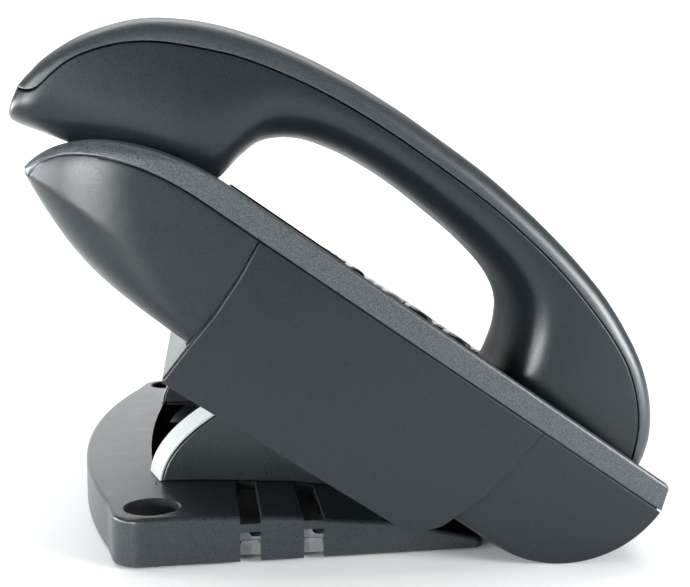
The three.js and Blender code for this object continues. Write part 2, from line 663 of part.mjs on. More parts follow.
function footPlan(inset) {
  const shape = new THREE.Shape();
  const rear = RIM_X + 16 + inset;
  const halfRear = FOOT_HALF_REAR - inset;
  const halfFront = FOOT_HALF_FRONT - inset;
  shape.moveTo(FOOT_FRONT - inset, -halfFront);
  shape.lineTo(FOOT_FRONT - inset, halfFront);
  shape.lineTo(rear + 10, halfRear);
  shape.quadraticCurveTo(rear + 1, halfRear + 0.4, rear, halfRear - 9);
  for (const y of [72, 48, 24, 0, -24, -48, -72]) {
    shape.lineTo(RIM_X + inset + RIM_RADIUS - Math.sqrt(RIM_RADIUS * RIM_RADIUS - y * y), y);
  }
  shape.lineTo(rear, -halfRear + 9);
  shape.quadraticCurveTo(rear + 1, -halfRear - 0.4, rear + 10, -halfRear);
  return shape;
}

function planSolid(shape, z0, z1) {
  const options = { depth: z1 - z0, bevelEnabled: false, curveSegments: 5 };
  const geometry = new THREE.ExtrudeGeometry(shape, options);
  return solid(geometry.translate(0, 0, z0));
}

function deckProfile(drop, bottom) {
  const top = deckLine.map(([x, z]) => [x, z - drop]);
  const front = FOOT_FRONT + 10;
  return [[RIM_X - 10, bottom], [front, bottom], [front, deckLine.at(-1)[1] - drop], ...top.reverse()];
}

// Opening in the middle of the deck, which the cables pass through.
function deckOpening() {
  const shape = new THREE.Shape();
  shape.moveTo(-95, -50);
  shape.lineTo(-95, 50);
  shape.lineTo(-151.6, 50);
  shape.lineTo(-151.6, 72);
  for (const y of [72, 50, 25, 0, -25, -50, -72]) {
    shape.lineTo(-157 + (y * y) / 1080, y);
  }
  shape.lineTo(-151.6, -72);
  shape.lineTo(-151.6, -50);
  return shape;
}

const PADS = [[-136, -95], [-136, 95]];
const FRONT_STRIP = { x: -64, half: 84, width: 8 };

function footPlate() {
  const full = side(deckProfile(0, FOOT_BOTTOM), -120, 120);
  const room = side(deckProfile(DECK, -5), -120, 120);
  let shape = planSolid(footPlan(0), 0, 30).intersect(full);
  const inside = planSolid(footPlan(DECK), -5, 30).intersect(room);
  shape = shape.subtract(inside);
  for (const [x, y] of PADS) {
    const boss = solid(cylinderUp(x, y, 8, 1.5, 20, 16));
    shape = shape.add(boss.intersect(full).intersect(planSolid(footPlan(0), 0, 30)));
  }
  const { x: stripX, half, width } = FRONT_STRIP;
  shape = shape.add(box(stripX - width, stripX + width, -half - 3, half + 3, 1.5, 20).intersect(full));
  shape = shape.subtract(planSolid(deckOpening(), -5, 30));
  const { x, y, radius } = BOLT_HOLE;
  shape = shape.subtract(both(solid(cylinderUp(x, y, radius, 4, 30, 24))));
  for (const centre of SLOT_CENTRES) {
    const x0 = centre - SLOT_WIDTH / 2;
    const x1 = centre + SLOT_WIDTH / 2;
    shape = shape.subtract(both(box(x0, x1, FOOT_HALF_REAR - SLOT_DEPTH, 120, 12.3, 30)));
    shape = shape.subtract(both(box(x0, x1, FOOT_HALF_REAR - 12, 120, -5, 9.8)));
    shape = shape.subtract(both(box(x0, x1, FOOT_HALF_REAR - SLOT_DEPTH, FOOT_HALF_REAR - 8, -5, 30)));
  }
  return shape;
}

place(footGroup, "foot_plate", footPlate(), charcoal);

const hinge = {
  x: (HINGE_X - FACE_LENGTH) * Math.cos(TILT) + HINGE_Z * Math.sin(TILT),
  z: TIP_HEIGHT - (HINGE_X - FACE_LENGTH) * Math.sin(TILT) + HINGE_Z * Math.cos(TILT),
};

// The rear face of a strut turns outward: towards the middle it lies further back.
function skewed(shape, depth, middle) {
  const geometry = new THREE.ExtrudeGeometry(shape, { depth, bevelEnabled: false, curveSegments: 6 });
  geometry.rotateX(Math.PI / 2).translate(0, middle + depth / 2, 0);
  const points = geometry.attributes.position;
  for (let i = 0; i < points.count; i += 1) {
    if (points.getX(i) < -100) {
      const inward = (STRUT_OUTER + points.getY(i)) / (STRUT_OUTER - STRUT_INNER);
      points.setX(i, points.getX(i) - STRUT_SKEW * inward);
    }
  }
  return solid(geometry);
}

const strutMiddle = -(STRUT_INNER + STRUT_OUTER) / 2;

// Curved rear edge of a strut, set back from its outer face by the given depth.
function strutRear(shape, back) {
  shape.lineTo(-151.3 + back, 15.8);
  shape.quadraticCurveTo(-149.8 + back * 0.8, 27 - back * 0.6, -134.7 + back * 0.5, 36.4 - back * 0.9);
}

function strutTrim() {
  const shape = new THREE.Shape();
  shape.moveTo(-134.7 + TRIM * 0.5, 36.4 - TRIM * 0.9);
  shape.quadraticCurveTo(-149.8 + TRIM * 0.8, 27 - TRIM * 0.6, -151.3 + TRIM, 15.8);
  strutRear(shape, 0);
  return skewed(shape, STRUT_OUTER - STRUT_INNER - 1, strutMiddle);
}

function strut() {
  const shape = new THREE.Shape();
  shape.moveTo(-151.3 + TRIM + GAP, 8);
  strutRear(shape, TRIM + GAP);
  shape.lineTo(-124, 43.9 - 1.4);
  shape.quadraticCurveTo(-118, 47.5 - 1.4, -112, 44.5);
  shape.lineTo(hinge.x - 2, hinge.z + 6);
  shape.lineTo(hinge.x + 5.5, hinge.z + 1);
  shape.lineTo(hinge.x + 5.5, 5);
  const body = skewed(shape, STRUT_OUTER - STRUT_INNER, strutMiddle);
  const knuckle = solid(cylinderAcross(hinge.x, hinge.z, 5, -STRUT_OUTER, -STRUT_INNER, 20));
  const bore = solid(cylinderAcross(hinge.x, hinge.z, PIN_RADIUS + GAP, -90, 0, 20));
  const deck = side(deckProfile(-GAP, -20), -120, 120);
  return body.add(knuckle).subtract(bore).subtract(deck);
}

place(footGroup, "strut_left", strut(), charcoal);
place(footGroup, "strut_right", mirrored(strut()), charcoal);
place(footGroup, "strut_trim_left", strutTrim(), bright);
place(footGroup, "strut_trim_right", mirrored(strutTrim()), bright);

for (const [name, sign] of [["hinge_pin_left", -1], ["hinge_pin_right", 1]]) {
  const inside = STRUT_INNER - 5;
  const outside = STRUT_OUTER + 5;
  const pin = cylinderAcross(hinge.x, hinge.z, PIN_RADIUS, Math.min(sign * inside, sign * outside),
    Math.max(sign * inside, sign * outside), 20);
  place(footGroup, name, solid(pin), bright);
}

PADS.forEach(([x, y], i) => {
  place(footGroup, `rear_pad_${i + 1}`, solid(cylinderUp(x, y, 6.5, 0, 1.2, 16)), rubber);
});
place(footGroup, "front_pad_strip", box(
  FRONT_STRIP.x - FRONT_STRIP.width / 2, FRONT_STRIP.x + FRONT_STRIP.width / 2,
  -FRONT_STRIP.half, FRONT_STRIP.half,
  0, 1.2,
), rubber);

// Pale plate behind the slots in the foot's side, with a round cable hole at each slot.
function cableClip() {
  let plate = box(SLOT_CENTRES[0] - 5.5, SLOT_CENTRES[1] + 5.5, -101, -98.6, 1.5, 9.4);
  for (const centre of SLOT_CENTRES) {
    plate = plate.subtract(solid(cylinderAcross(centre + 0.9, 7.2, 1.7, -110, -90, 12)));
  }
  return plate;
}
place(footGroup, "cable_clip_left", cableClip(), paleGrey);
place(footGroup, "cable_clip_right", mirrored(cableClip()), paleGrey);

export default phone;
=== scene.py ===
import json
import math

import bmesh
import bpy
import numpy as np
from mathutils import Matrix, Vector


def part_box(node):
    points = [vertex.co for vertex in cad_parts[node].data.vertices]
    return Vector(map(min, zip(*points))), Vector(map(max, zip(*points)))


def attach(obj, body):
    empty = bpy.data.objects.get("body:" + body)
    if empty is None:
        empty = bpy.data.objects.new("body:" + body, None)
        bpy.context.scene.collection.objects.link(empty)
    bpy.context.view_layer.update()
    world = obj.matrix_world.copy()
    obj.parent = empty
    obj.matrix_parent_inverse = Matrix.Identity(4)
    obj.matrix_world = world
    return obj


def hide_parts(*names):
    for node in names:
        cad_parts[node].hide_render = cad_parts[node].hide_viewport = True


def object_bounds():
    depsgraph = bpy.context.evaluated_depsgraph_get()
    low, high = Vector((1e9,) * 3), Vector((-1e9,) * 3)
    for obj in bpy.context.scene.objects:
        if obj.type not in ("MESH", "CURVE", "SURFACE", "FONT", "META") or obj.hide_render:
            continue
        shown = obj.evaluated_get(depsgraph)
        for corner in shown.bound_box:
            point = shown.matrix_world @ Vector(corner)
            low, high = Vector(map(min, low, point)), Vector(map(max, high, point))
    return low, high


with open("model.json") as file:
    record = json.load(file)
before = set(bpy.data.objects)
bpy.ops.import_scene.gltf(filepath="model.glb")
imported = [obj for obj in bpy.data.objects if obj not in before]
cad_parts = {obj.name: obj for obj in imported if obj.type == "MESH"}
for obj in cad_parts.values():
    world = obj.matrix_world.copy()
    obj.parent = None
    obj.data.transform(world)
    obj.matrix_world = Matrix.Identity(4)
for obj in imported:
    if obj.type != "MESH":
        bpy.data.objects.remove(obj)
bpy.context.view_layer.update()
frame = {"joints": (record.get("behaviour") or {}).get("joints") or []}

# Lengths are millimetres up to the last step, where a piece is scaled into the frame's metres.
MM = 0.001

# ---- driving dimensions
normal = Vector(next(j for j in frame["joints"] if j["name"] == "handset_lift")["axis"])
TILT = math.atan2(normal.x, normal.z)
TIP_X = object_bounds()[1].x / MM
TIP_HEIGHT = 22.9
FACE_LENGTH = 204.5
HALF_WIDTH = 118.5
DEPTH = 43.5
SHOULDER = 48.0
REAR_EDGE_DROP = 28.5
BAND = 7.6
BELLY_END = 170.0
FRONT_BULGE = 2.3
BELLY_EDGE = 6.0  # radius along the belly's sides, at the rear
BELLY_EDGE_FRONT = 2.2
FRONT_CORNER = 0.9
REAR_SWELL = 1.3  # the rear edge stands out this far past its curves
WALL = 2.4
SEAM_GAP = 0.42
LIP = 0.32  # rounding along the seams
TONGUE = 1.0  # the housing's rim stands up by this much behind the bezel's

HANDSET_Y = -86.4
WELL_HALF = 25.6
EAR_SLOPE = 0.2153
EAR_WELL_END = 50.0
MOUTH_WELL = (144.0, 201.6, -9.5)
TUB_FLOOR = 2.2  # thickness under the wells

CHEEK = 2.5
BLOCK_REAR = 62.9
BLOCK_BOTTOM = -54.5
BLOCK_FRONT = 155.4

to_row = (
    Matrix.Translation(((TIP_X - FACE_LENGTH * math.cos(TILT)) * MM, 0,
                        (TIP_HEIGHT + FACE_LENGTH * math.sin(TILT)) * MM))
    @ Matrix.Rotation(TILT, 4, "Y") @ Matrix.Scale(MM, 4)
)
foot_to_row = Matrix.Translation((TIP_X * MM, 0, 0)) @ Matrix.Scale(MM, 4)


# ---- camera
def add_camera():
    data = bpy.data.cameras.new("camera")
    data.sensor_width = 36.0
    data.lens = 57.39
    data.clip_start = 0.01
    camera = bpy.data.objects.new("camera", data)
    camera.location = ((TIP_X - 136.7) * MM, -(HALF_WIDTH + 301.4) * MM, 0.1170)
    camera.rotation_euler = (math.radians(90 - 6.59), 0, math.radians(-7.46))
    bpy.context.scene.collection.objects.link(camera)
    bpy.context.scene.camera = camera


add_camera()


# ---- mesh tools
def new_object(name, mesh):
    obj = bpy.data.objects.new(name, mesh)
    bpy.context.scene.collection.objects.link(obj)
    return obj


def mesh_of(name, vertices, faces):
    mesh = bpy.data.meshes.new(name)
    mesh.from_pydata([tuple(v) for v in vertices], [], [list(f) for f in faces])
    tidy = bmesh.new()
    tidy.from_mesh(mesh)
    bmesh.ops.remove_doubles(tidy, verts=tidy.verts, dist=1e-4)
    bmesh.ops.dissolve_degenerate(tidy, edges=tidy.edges, dist=1e-4)
    bmesh.ops.recalc_face_normals(tidy, faces=tidy.faces)
    tidy.to_mesh(mesh)
    tidy.free()
    return mesh


def loft(name, rings, caps=True):
    """Closed solid through rings of points, all with the same count."""
    rings = [np.asarray(r, float) for r in rings]
    count = len(rings[0])
    faces = []
    for i in range(len(rings) - 1):
        for j in range(count):
            k = (j + 1) % count
            a, b = i * count, (i + 1) * count
            faces.append((a + j, a + k, b + k, b + j))
    if caps:
        faces.append(tuple(range(count))[::-1])
        faces.append(tuple((len(rings) - 1) * count + j for j in range(count)))
    return new_object(name, mesh_of(name, np.concatenate(rings), faces))


def remove(obj):
    mesh = obj.data
    bpy.data.objects.remove(obj)
    bpy.data.meshes.remove(mesh)


def join(name, objects):
    whole = bmesh.new()
    for obj in objects:
        whole.from_mesh(obj.data)
    mesh = bpy.data.meshes.new(name)
    whole.to_mesh(mesh)
    whole.free()
    for obj in objects:
        remove(obj)
    return new_object(name, mesh)


def split_faces(obj, step):
    """Divides the faces along a grid of x and y, so that holes cut later leave simple faces."""
    grid = bmesh.new()
    grid.from_mesh(obj.data)
    for axis in (0, 1):
        places = [vertex.co[axis] for vertex in grid.verts]
        across_axis = Vector((axis == 0, axis == 1, 0))
        for place in np.arange(min(places) + 0.37 * step, max(places), step):
            bmesh.ops.bisect_plane(grid, geom=grid.verts[:] + grid.edges[:] + grid.faces[:], dist=1e-4,
                                   plane_co=across_axis * place, plane_no=across_axis)
    grid.to_mesh(obj.data)
    grid.free()


def apply_modifiers(obj):
    bpy.context.view_layer.update()
    evaluated = obj.evaluated_get(bpy.context.evaluated_depsgraph_get())
    mesh = bpy.data.meshes.new_from_object(evaluated)
    obj.modifiers.clear()
    old = obj.data
    obj.data = mesh
    bpy.data.meshes.remove(old)


def boolean(obj, tools, operation="DIFFERENCE"):
    """Cuts, joins or intersects obj with the tools, which are used up."""
    tool = join("tool", tools) if len(tools) > 1 else tools[0]
    modifier = obj.modifiers.new("cut", "BOOLEAN")
    modifier.operation = operation
    modifier.object = tool
    modifier.solver = "MANIFOLD"
    apply_modifiers(obj)
    remove(tool)
    return obj


def finish_piece(obj, matrix, material, body, replaced, sharp=32):
    obj.data.transform(matrix)
    obj.data.materials.clear()
    obj.data.materials.append(material)
    for polygon in obj.data.polygons:
        polygon.use_smooth = True
        polygon.material_index = 0
    obj.data.set_sharp_from_angle(angle=math.radians(sharp))
    shading = obj.modifiers.new("shading", "WEIGHTED_NORMAL")
    shading.keep_sharp = True
    apply_modifiers(obj)
    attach(obj, body)
    if replaced:
        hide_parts(*replaced)
    return obj


def inset_outline(points, distance):
    """A closed outline moved inward by distance. It runs counter-clockwise."""
    points = np.asarray(points, float)
    before = points - np.roll(points, 1, axis=0)
    after = np.roll(points, -1, axis=0) - points
    before /= np.linalg.norm(before, axis=1)[:, None]
    after /= np.linalg.norm(after, axis=1)[:, None]
    n0 = np.stack([-before[:, 1], before[:, 0]], 1)
    n1 = np.stack([-after[:, 1], after[:, 0]], 1)
    bisector = n0 + n1
    scale = distance / np.maximum(0.35, (bisector * n1).sum(1))
    return points + bisector * scale[:, None]


def filleted(corners, steps=6):
    """Outline through corners of (x, z, radius), each rounded by an arc."""
    result = []
    count = len(corners)
    for i, (x, z, radius) in enumerate(corners):
        here = np.array([x, z], float)
        back = np.array(corners[i - 1][:2], float) - here
        ahead = np.array(corners[(i + 1) % count][:2], float) - here
        if radius <= 0:
            result.append(here)
            continue
        u, v = back / np.linalg.norm(back), ahead / np.linalg.norm(ahead)
        half = math.acos(np.clip(u @ v, -1, 1)) / 2
        reach = radius / math.tan(half)
        centre = here + (u + v) / np.linalg.norm(u + v) * radius / math.sin(half)
        start, end = here + u * reach - centre, here + v * reach - centre
        a0, a1 = math.atan2(start[1], start[0]), math.atan2(end[1], end[0])
        turn = (a1 - a0 + math.pi) % (2 * math.pi) - math.pi
        for k in range(steps + 1):
            angle = a0 + turn * k / steps
            result.append(centre + radius * np.array([math.cos(angle), math.sin(angle)]))
    return np.array(result)


def across(outline, y):
    """Side-view outline of (x, z) points as a ring at y."""
    return np.stack([outline[:, 0], np.full(len(outline), y), outline[:, 1]], 1)


def upward(outline, z):
    return np.stack([outline[:, 0], outline[:, 1], np.full(len(outline), z)], 1)


def rounded_prism(name, outline, low, high, edge, ring=across, steps=4):
    """An outline extruded from low to high, with rounded end edges."""
    angles = [math.pi / 2 * k / steps for k in range(steps + 1)]
    arc = [(inset_outline(outline, edge * (1 - math.sin(a))), edge * (1 - math.cos(a))) for a in angles]
    rings = [ring(moved, low + rise) for moved, rise in arc]
    rings += [ring(moved, high - rise) for moved, rise in arc[::-1]]
    return loft(name, rings)


def prism(outline, low, high, ring=across):
    outline = np.asarray(outline, float)
    return loft("prism", [ring(outline, low), ring(outline, high)])


def block(x0, x1, y0, y1, z0, z1):
    return prism([(x0, y0), (x1, y0), (x1, y1), (x0, y1)], z0, z1, upward)


def rounded_rectangle(x0, x1, y0, y1, radius, steps=8):
    return filleted([(x0, y0, radius), (x1, y0, radius), (x1, y1, radius), (x0, y1, radius)], steps)


def disc(x, y, radius, count=48):
    angles = np.arange(count) * 2 * math.pi / count
    return np.stack([x + radius * np.cos(angles), y + radius * np.sin(angles)], 1)


def flared_cutter(outline, bottom, chamfer, top=0.0, ring=upward):
    """Cuts a hole down from the plane at top, with a chamfered mouth."""
    wide = inset_outline(outline, -chamfer)
    return loft("cutter", [
        ring(outline, bottom), ring(outline, top - chamfer), ring(wide, top), ring(wide, top + 6),
    ])


# ---- materials
def principled(name):
    material = bpy.data.materials.new(name)
    material.use_nodes = True
    tree = material.node_tree
    return material, tree, tree.nodes["Principled BSDF"]


def noise(tree, coordinates, scale, detail=2.0, roughness=0.5):
    """Noise turned off the axes, so that flat faces don't lie along its lattice."""
    turned_axes = tree.nodes.new("ShaderNodeMapping")
    turned_axes.inputs["Rotation"].default_value = (0.6, 0.8, 0.4)
    tree.links.new(coordinates, turned_axes.inputs["Vector"])
    node = tree.nodes.new("ShaderNodeTexNoise")
    node.inputs["Scale"].default_value = scale
    node.inputs["Detail"].default_value = detail
    node.inputs["Roughness"].default_value = roughness
    tree.links.new(turned_axes.outputs["Vector"], node.inputs["Vector"])
    return node.outputs["Fac"]


def spread(tree, value, low, high):
    """Maps noise around its middle onto low to high."""
    node = tree.nodes.new("ShaderNodeMapRange")
    node.inputs["From Min"].default_value = 0.3
    node.inputs["From Max"].default_value = 0.7
    node.inputs["To Min"].default_value = low
    node.inputs["To Max"].default_value = high
    tree.links.new(value, node.inputs["Value"])
    return node.outputs["Result"]


def two_tone(tree, factor, dark, light):
    ramp = tree.nodes.new("ShaderNodeValToRGB")
    ramp.color_ramp.elements[0].position = 0.35
    ramp.color_ramp.elements[0].color = (*dark, 1)
    ramp.color_ramp.elements[1].position = 0.68
    ramp.color_ramp.elements[1].color = (*light, 1)
    tree.links.new(factor, ramp.inputs["Fac"])
    return ramp.outputs["Color"]


def grained(name, dark, light, roughness, grain, depth, shine=0.5):
    """Moulded plastic with a fine spark-eroded grain. grain is the size of its bumps in millimetres."""
    material, tree, shader = principled(name)
    where = tree.nodes.new("ShaderNodeTexCoord").outputs["Object"]
    fine = noise(tree, where, 1 / (grain * MM), 3.0, 0.6)
    cloud = noise(tree, where, 1 / (9.0 * MM), 2.0)
    tree.links.new(two_tone(tree, fine, dark, light), shader.inputs["Base Color"])
    blended = tree.nodes.new("ShaderNodeMath")
    blended.operation = "ADD"
    tree.links.new(spread(tree, fine, -0.06, 0.06), blended.inputs[0])
    tree.links.new(spread(tree, cloud, roughness - 0.012, roughness + 0.012), blended.inputs[1])
    tree.links.new(blended.outputs[0], shader.inputs["Roughness"])
    bump = tree.nodes.new("ShaderNodeBump")
    bump.inputs["Strength"].default_value = 1.0
    bump.inputs["Distance"].default_value = depth * MM
    tree.links.new(fine, bump.inputs["Height"])
    tree.links.new(bump.outputs["Normal"], shader.inputs["Normal"])
    shader.inputs["Specular IOR Level"].default_value = shine
    return material


def metal(name, color, roughness):
    material, tree, shader = principled(name)
    shader.inputs["Base Color"].default_value = (*color, 1)
    shader.inputs["Metallic"].default_value = 1.0
    where = tree.nodes.new("ShaderNodeTexCoord").outputs["Object"]
    brushed = noise(tree, where, 900.0, 3.0)
    tree.links.new(spread(tree, brushed, roughness - 0.07, roughness + 0.07), shader.inputs["Roughness"])
    bump = tree.nodes.new("ShaderNodeBump")
    bump.inputs["Distance"].default_value = 0.004 * MM
    tree.links.new(brushed, bump.inputs["Height"])
    tree.links.new(bump.outputs["Normal"], shader.inputs["Normal"])
    return material


band_charcoal = grained("band_charcoal", (0.007, 0.010, 0.012), (0.058, 0.069, 0.075), 0.38, 0.36, 0.050)
back_charcoal = grained("back_charcoal", (0.006, 0.009, 0.011), (0.031, 0.038, 0.043), 0.35, 0.34, 0.036)
satin_charcoal = grained("satin_charcoal", (0.004, 0.0065, 0.0085), (0.009, 0.0125, 0.0150),
                         0.31, 0.26, 0.012, 0.33)
foot_charcoal = grained("foot_charcoal", (0.006, 0.009, 0.011), (0.020, 0.025, 0.028),
                        0.31, 0.34, 0.026, 0.40)
dark_plastic = grained("dark_plastic", (0.008, 0.009, 0.010), (0.014, 0.015, 0.017), 0.5, 0.5, 0.010)
pale_plastic = grained("pale_plastic", (0.13, 0.14, 0.14), (0.18, 0.19, 0.19), 0.5, 0.4, 0.010)
key_black = grained("key_black", (0.006, 0.006, 0.007), (0.012, 0.012, 0.014), 0.2, 1.2, 0.004)
key_silver = grained("key_silver", (0.20, 0.21, 0.22), (0.30, 0.31, 0.33), 0.32, 0.3, 0.004)
black_rubber = grained("black_rubber", (0.008, 0.008, 0.009), (0.018, 0.018, 0.019), 0.8, 0.5, 0.020)
board_green = grained("board_green", (0.008, 0.06, 0.025), (0.014, 0.09, 0.04), 0.35, 1.4, 0.010)
cell_blue = grained("cell_blue", (0.02, 0.11, 0.24), (0.03, 0.15, 0.31), 0.3, 2.0, 0.004)
legend_white = grained("legend_white", (0.70, 0.70, 0.68), (0.82, 0.82, 0.80), 0.5, 0.3, 0.002)
panel_grey = grained("panel_grey", (0.100, 0.118, 0.104), (0.108, 0.126, 0.112), 0.12, 4.0, 0.0005)
silver_strip = grained("silver_strip", (0.30, 0.31, 0.31), (0.36, 0.37, 0.37), 0.30, 0.3, 0.002)
plated_steel = metal("plated_steel", (0.60, 0.61, 0.62), 0.3)
plated_gold = metal("plated_gold", (0.80, 0.58, 0.22), 0.28)
window_black = grained("window_black", (0.010, 0.011, 0.011), (0.012, 0.013, 0.013), 0.12, 4.0, 0.0005)


# ---- console envelope
def rear_x(z):
    z = np.asarray(z, float)
    rise = np.clip((z + REAR_EDGE_DROP) / REAR_EDGE_DROP, 0, 1)
    upper = SHOULDER * (1 - np.sqrt(1 - rise ** 2)) - REAR_SWELL * np.clip((-z - 12) / 16.5, 0, 1) ** 2
    s = np.sqrt(np.clip((z + DEPTH) / (DEPTH - REAR_EDGE_DROP), 0, 1))
    lower = SHOULDER * s * (1 - s) + (SHOULDER - 6) * (1 - s) ** 2 - REAR_SWELL * s
    return np.where(z >= -REAR_EDGE_DROP, upper, lower)


def front_x(z):
    z = np.asarray(z, float)
    edge = 1.3
    upper = FACE_LENGTH + FRONT_BULGE * np.clip(-z, 0, BAND) / BAND
    t = np.clip(1 + z / edge, 0, 1)
    upper = upper - edge * (1 - np.sqrt(1 - t ** 2))
    drop = np.clip((-z - BAND) / (DEPTH - BAND), 0, 1)
    lower = BELLY_END + (FACE_LENGTH + FRONT_BULGE - BELLY_END) * np.sqrt(1 - drop ** 2)
    return np.where(z > -BAND, upper, lower)


def half_width(z, along):
    z = np.asarray(z, float)
    edge = 1.3
    t = np.clip(1 + z / edge, 0, 1)
    upper = HALF_WIDTH - edge * (1 - np.sqrt(1 - t ** 2))
    drafted = HALF_WIDTH - 0.06 * np.clip(-z - BAND, 0, None)
    towards_front = np.clip((np.asarray(along, float) - 0.25) / 0.5, 0, 1)
    radius = BELLY_EDGE + (BELLY_EDGE_FRONT - BELLY_EDGE) * towards_front
    into = np.clip((-z - (DEPTH - radius)) / radius, 0, 1)
    return np.where(z > -BAND, upper, drafted - radius * (1 - np.sqrt(1 - into ** 2)))


def smoothstep(t):
    t = np.clip(t, 0, 1)
    return t * t * (3 - 2 * t)


def rear_corner(z):
    """Reach along x and y of the rear plan corners, which are elliptical."""
    depth = -np.asarray(z, float)
    return 7 + 36 * smoothstep((depth - 1) / 32), 5 + 16 * smoothstep((depth - 9) / 38)


def plan_parameters():
    """Fractions and angles that place the points of one ring of the console, counter-clockwise."""
    rows = []
    corner = np.radians(np.linspace(0, 90, 25))
    sides = np.linspace(0, 1, 46)[1:-1] ** 1.4
    for a in corner:
        rows.append((1, -1, a - math.pi / 2, 0))
    for g in np.linspace(-1, 1, 14)[1:-1]:
        rows.append((1, g, 0, 0))
    for a in corner:
        rows.append((1, 1, a, 0))
    for f in sides[::-1]:
        rows.append((f, 1, math.pi / 2, 1))
    for a in corner:
        rows.append((0, 1, a + math.pi / 2, 1))
    for g in np.linspace(1, -1, 26)[1:-1]:
        rows.append((0, g, math.pi, 1))
    for a in corner:
        rows.append((0, -1, a + math.pi, 1))
    for f in sides:
        rows.append((f, -1, -math.pi / 2, 1))
    return np.array(rows, float)


PLAN = plan_parameters()


def plan(z, inset):
    """Ring points (x, y) at height z, one z or one for each point."""
    along, side, angle, rear = PLAN.T
    z = np.broadcast_to(np.asarray(z, float), along.shape)
    x0, x1, half = rear_x(z) + inset, front_x(z) - inset, half_width(z, along) - inset
    reach_x, reach_y = rear_corner(z)
    front = FRONT_CORNER - inset * 0.5
    rx = np.where(rear > 0, reach_x - inset, front)
    ry = np.where(rear > 0, reach_y - inset, front)
    x = (x0 + reach_x - inset) * (1 - along) + (x1 - front) * along + rx * np.cos(angle)
    y = side * (half - ry) + ry * np.sin(angle)
    return x, y


def console_ring(z, inset=0.0, rise=0.0):
    """Ring on the outer skin, moved in by inset and up by rise."""
    x, y = plan(z, inset)
    return np.stack([x, y, np.broadcast_to(z, x.shape) + rise], 1)


def inner_ring(z):
    """Ring on the inside of the walls, where the outer skin has height z."""
    x, y = plan(z, WALL)
    return np.stack([x, y, np.broadcast_to(z, x.shape) * (DEPTH - 2 * WALL) / DEPTH - WALL], 1)


def seam_height(x, gap):
    run = np.clip((44 - np.asarray(x, float)) / (43 - gap), 0, 1)
    return -29 + (29 - BAND - gap) * np.sqrt(1 - run ** 2)


def seam_levels(gap):
    """Height at which each ring point crosses the seam."""
    low = np.full(len(PLAN), -34.0)
    high = np.full(len(PLAN), -1.0)
    for _ in range(40):
        middle = (low + high) / 2
        above = middle > seam_height(plan(middle, 0)[0], gap)
        high = np.where(above, middle, high)
        low = np.where(above, low, middle)
    return (low + high) / 2


def console_solid(inset):
    """The whole closed envelope, used to trim other solids."""
    levels = list(-REAR_EDGE_DROP * (1 - np.sin(np.radians(np.linspace(90, 0, 19)))))
    levels += list(-DEPTH + (DEPTH - REAR_EDGE_DROP) * np.linspace(0.95, 0, 12) ** 2)
    return loft("envelope", [console_ring(z, inset, -inset if z > -1 else 0) for z in levels])


# ---- keys' places
DIAL = [("1", 0, 0), ("2", 1, 0), ("3", 2, 0), ("4", 0, 1), ("5", 1, 1), ("6", 2, 1),
        ("7", 0, 2), ("8", 1, 2), ("9", 2, 2), ("star", 0, 3), ("0", 1, 3), ("hash", 2, 3)]
DIAL_COLUMNS = (-30, -9, 12)
PITCH = 17.5
KEY_PLAY = 0.35
KEY_BOTTOM, FLANGE_TOP, STEM_BOTTOM = -5.2, -4.3, -4.2  # heights under the face
keys = [(f"dial_key_{n}", 132.9 + PITCH * row, DIAL_COLUMNS[column], 10.8, 16, n) for n, column, row in DIAL]
keys += [(f"soft_key_{i + 1}", 104, -32 + 27.3 * i, 6, 20, "") for i in range(4)]
keys += [(f"function_key_{i + 1}", 121.2, DIAL_COLUMNS[i], 7.5, 14, "") for i in range(3)]
keys += [(f"call_key_{i + 1}", 150 + PITCH * i, 46, 9, 18, "") for i in range(3)]
NAVIGATION = (139, 84, 17, 6.5)
VOLUME = ("volume_rocker", 185, 84, 9, 40, "")
DISPLAY = (50, 98, -42, 60)
HOOK = (24, 36, -92, -83)
CONTACT_X, CONTACT_YS = 165, (-93, -82)


def key_outline(x, y, sx, sy, grow=0.0):
    reach, half = sx / 2 + grow, sy / 2 + grow
    return rounded_rectangle(x - reach, x + reach, y - half, y + half, min(reach, half) * 0.8, 8)


# ---- bezel
def ear_floor(x):
    return -20.1 + EAR_SLOPE * (x + 10.3)


def shoulder_height(x):
    run = np.clip((SHOULDER - x) / SHOULDER, 0, 1)
    return -REAR_EDGE_DROP * (1 - math.sqrt(1 - run ** 2))


def well_section(x, floor, fillet, mouth):
    """Ring across a well at x: a rounded trough with a chamfered mouth at height mouth."""
    chamfer = 0.7
    mouth = max(mouth, floor + fillet + chamfer + 0.1)
    points = [(-WELL_HALF - chamfer, 9), (-WELL_HALF - chamfer, mouth), (-WELL_HALF, mouth - chamfer)]
    for k in range(7):
        angle = math.radians(180 + 15 * k)
        points.append((-WELL_HALF + fillet + fillet * math.cos(angle),
                       floor + fillet + fillet * math.sin(angle)))
    points += [(-y, z) for y, z in points[::-1]]
    return [(x, HANDSET_Y + y, z) for y, z in points]


def well_cutter(x0, x1, floor, open_rear):
    """Trough from x0 to x1, with rounded foot corners at its closed ends."""
    fillet = 3.0
    turns = np.radians(np.linspace(0, 90, 5))
    closing = [(fillet * (1 - math.cos(t)), fillet * (1 - math.sin(t))) for t in turns]
    rings = [] if open_rear else [(x0 + run, lift) for run, lift in closing]
    steps = np.linspace(x0 if open_rear else x0 + fillet + 2, x1 - fillet - 2, 26)
    rings += [(x, 0.0) for x in steps]
    rings += [(x1 - run, lift) for run, lift in closing[::-1]]
    return loft("well", [well_section(x, floor(x) + lift, fillet, shoulder_height(x)) for x, lift in rings])


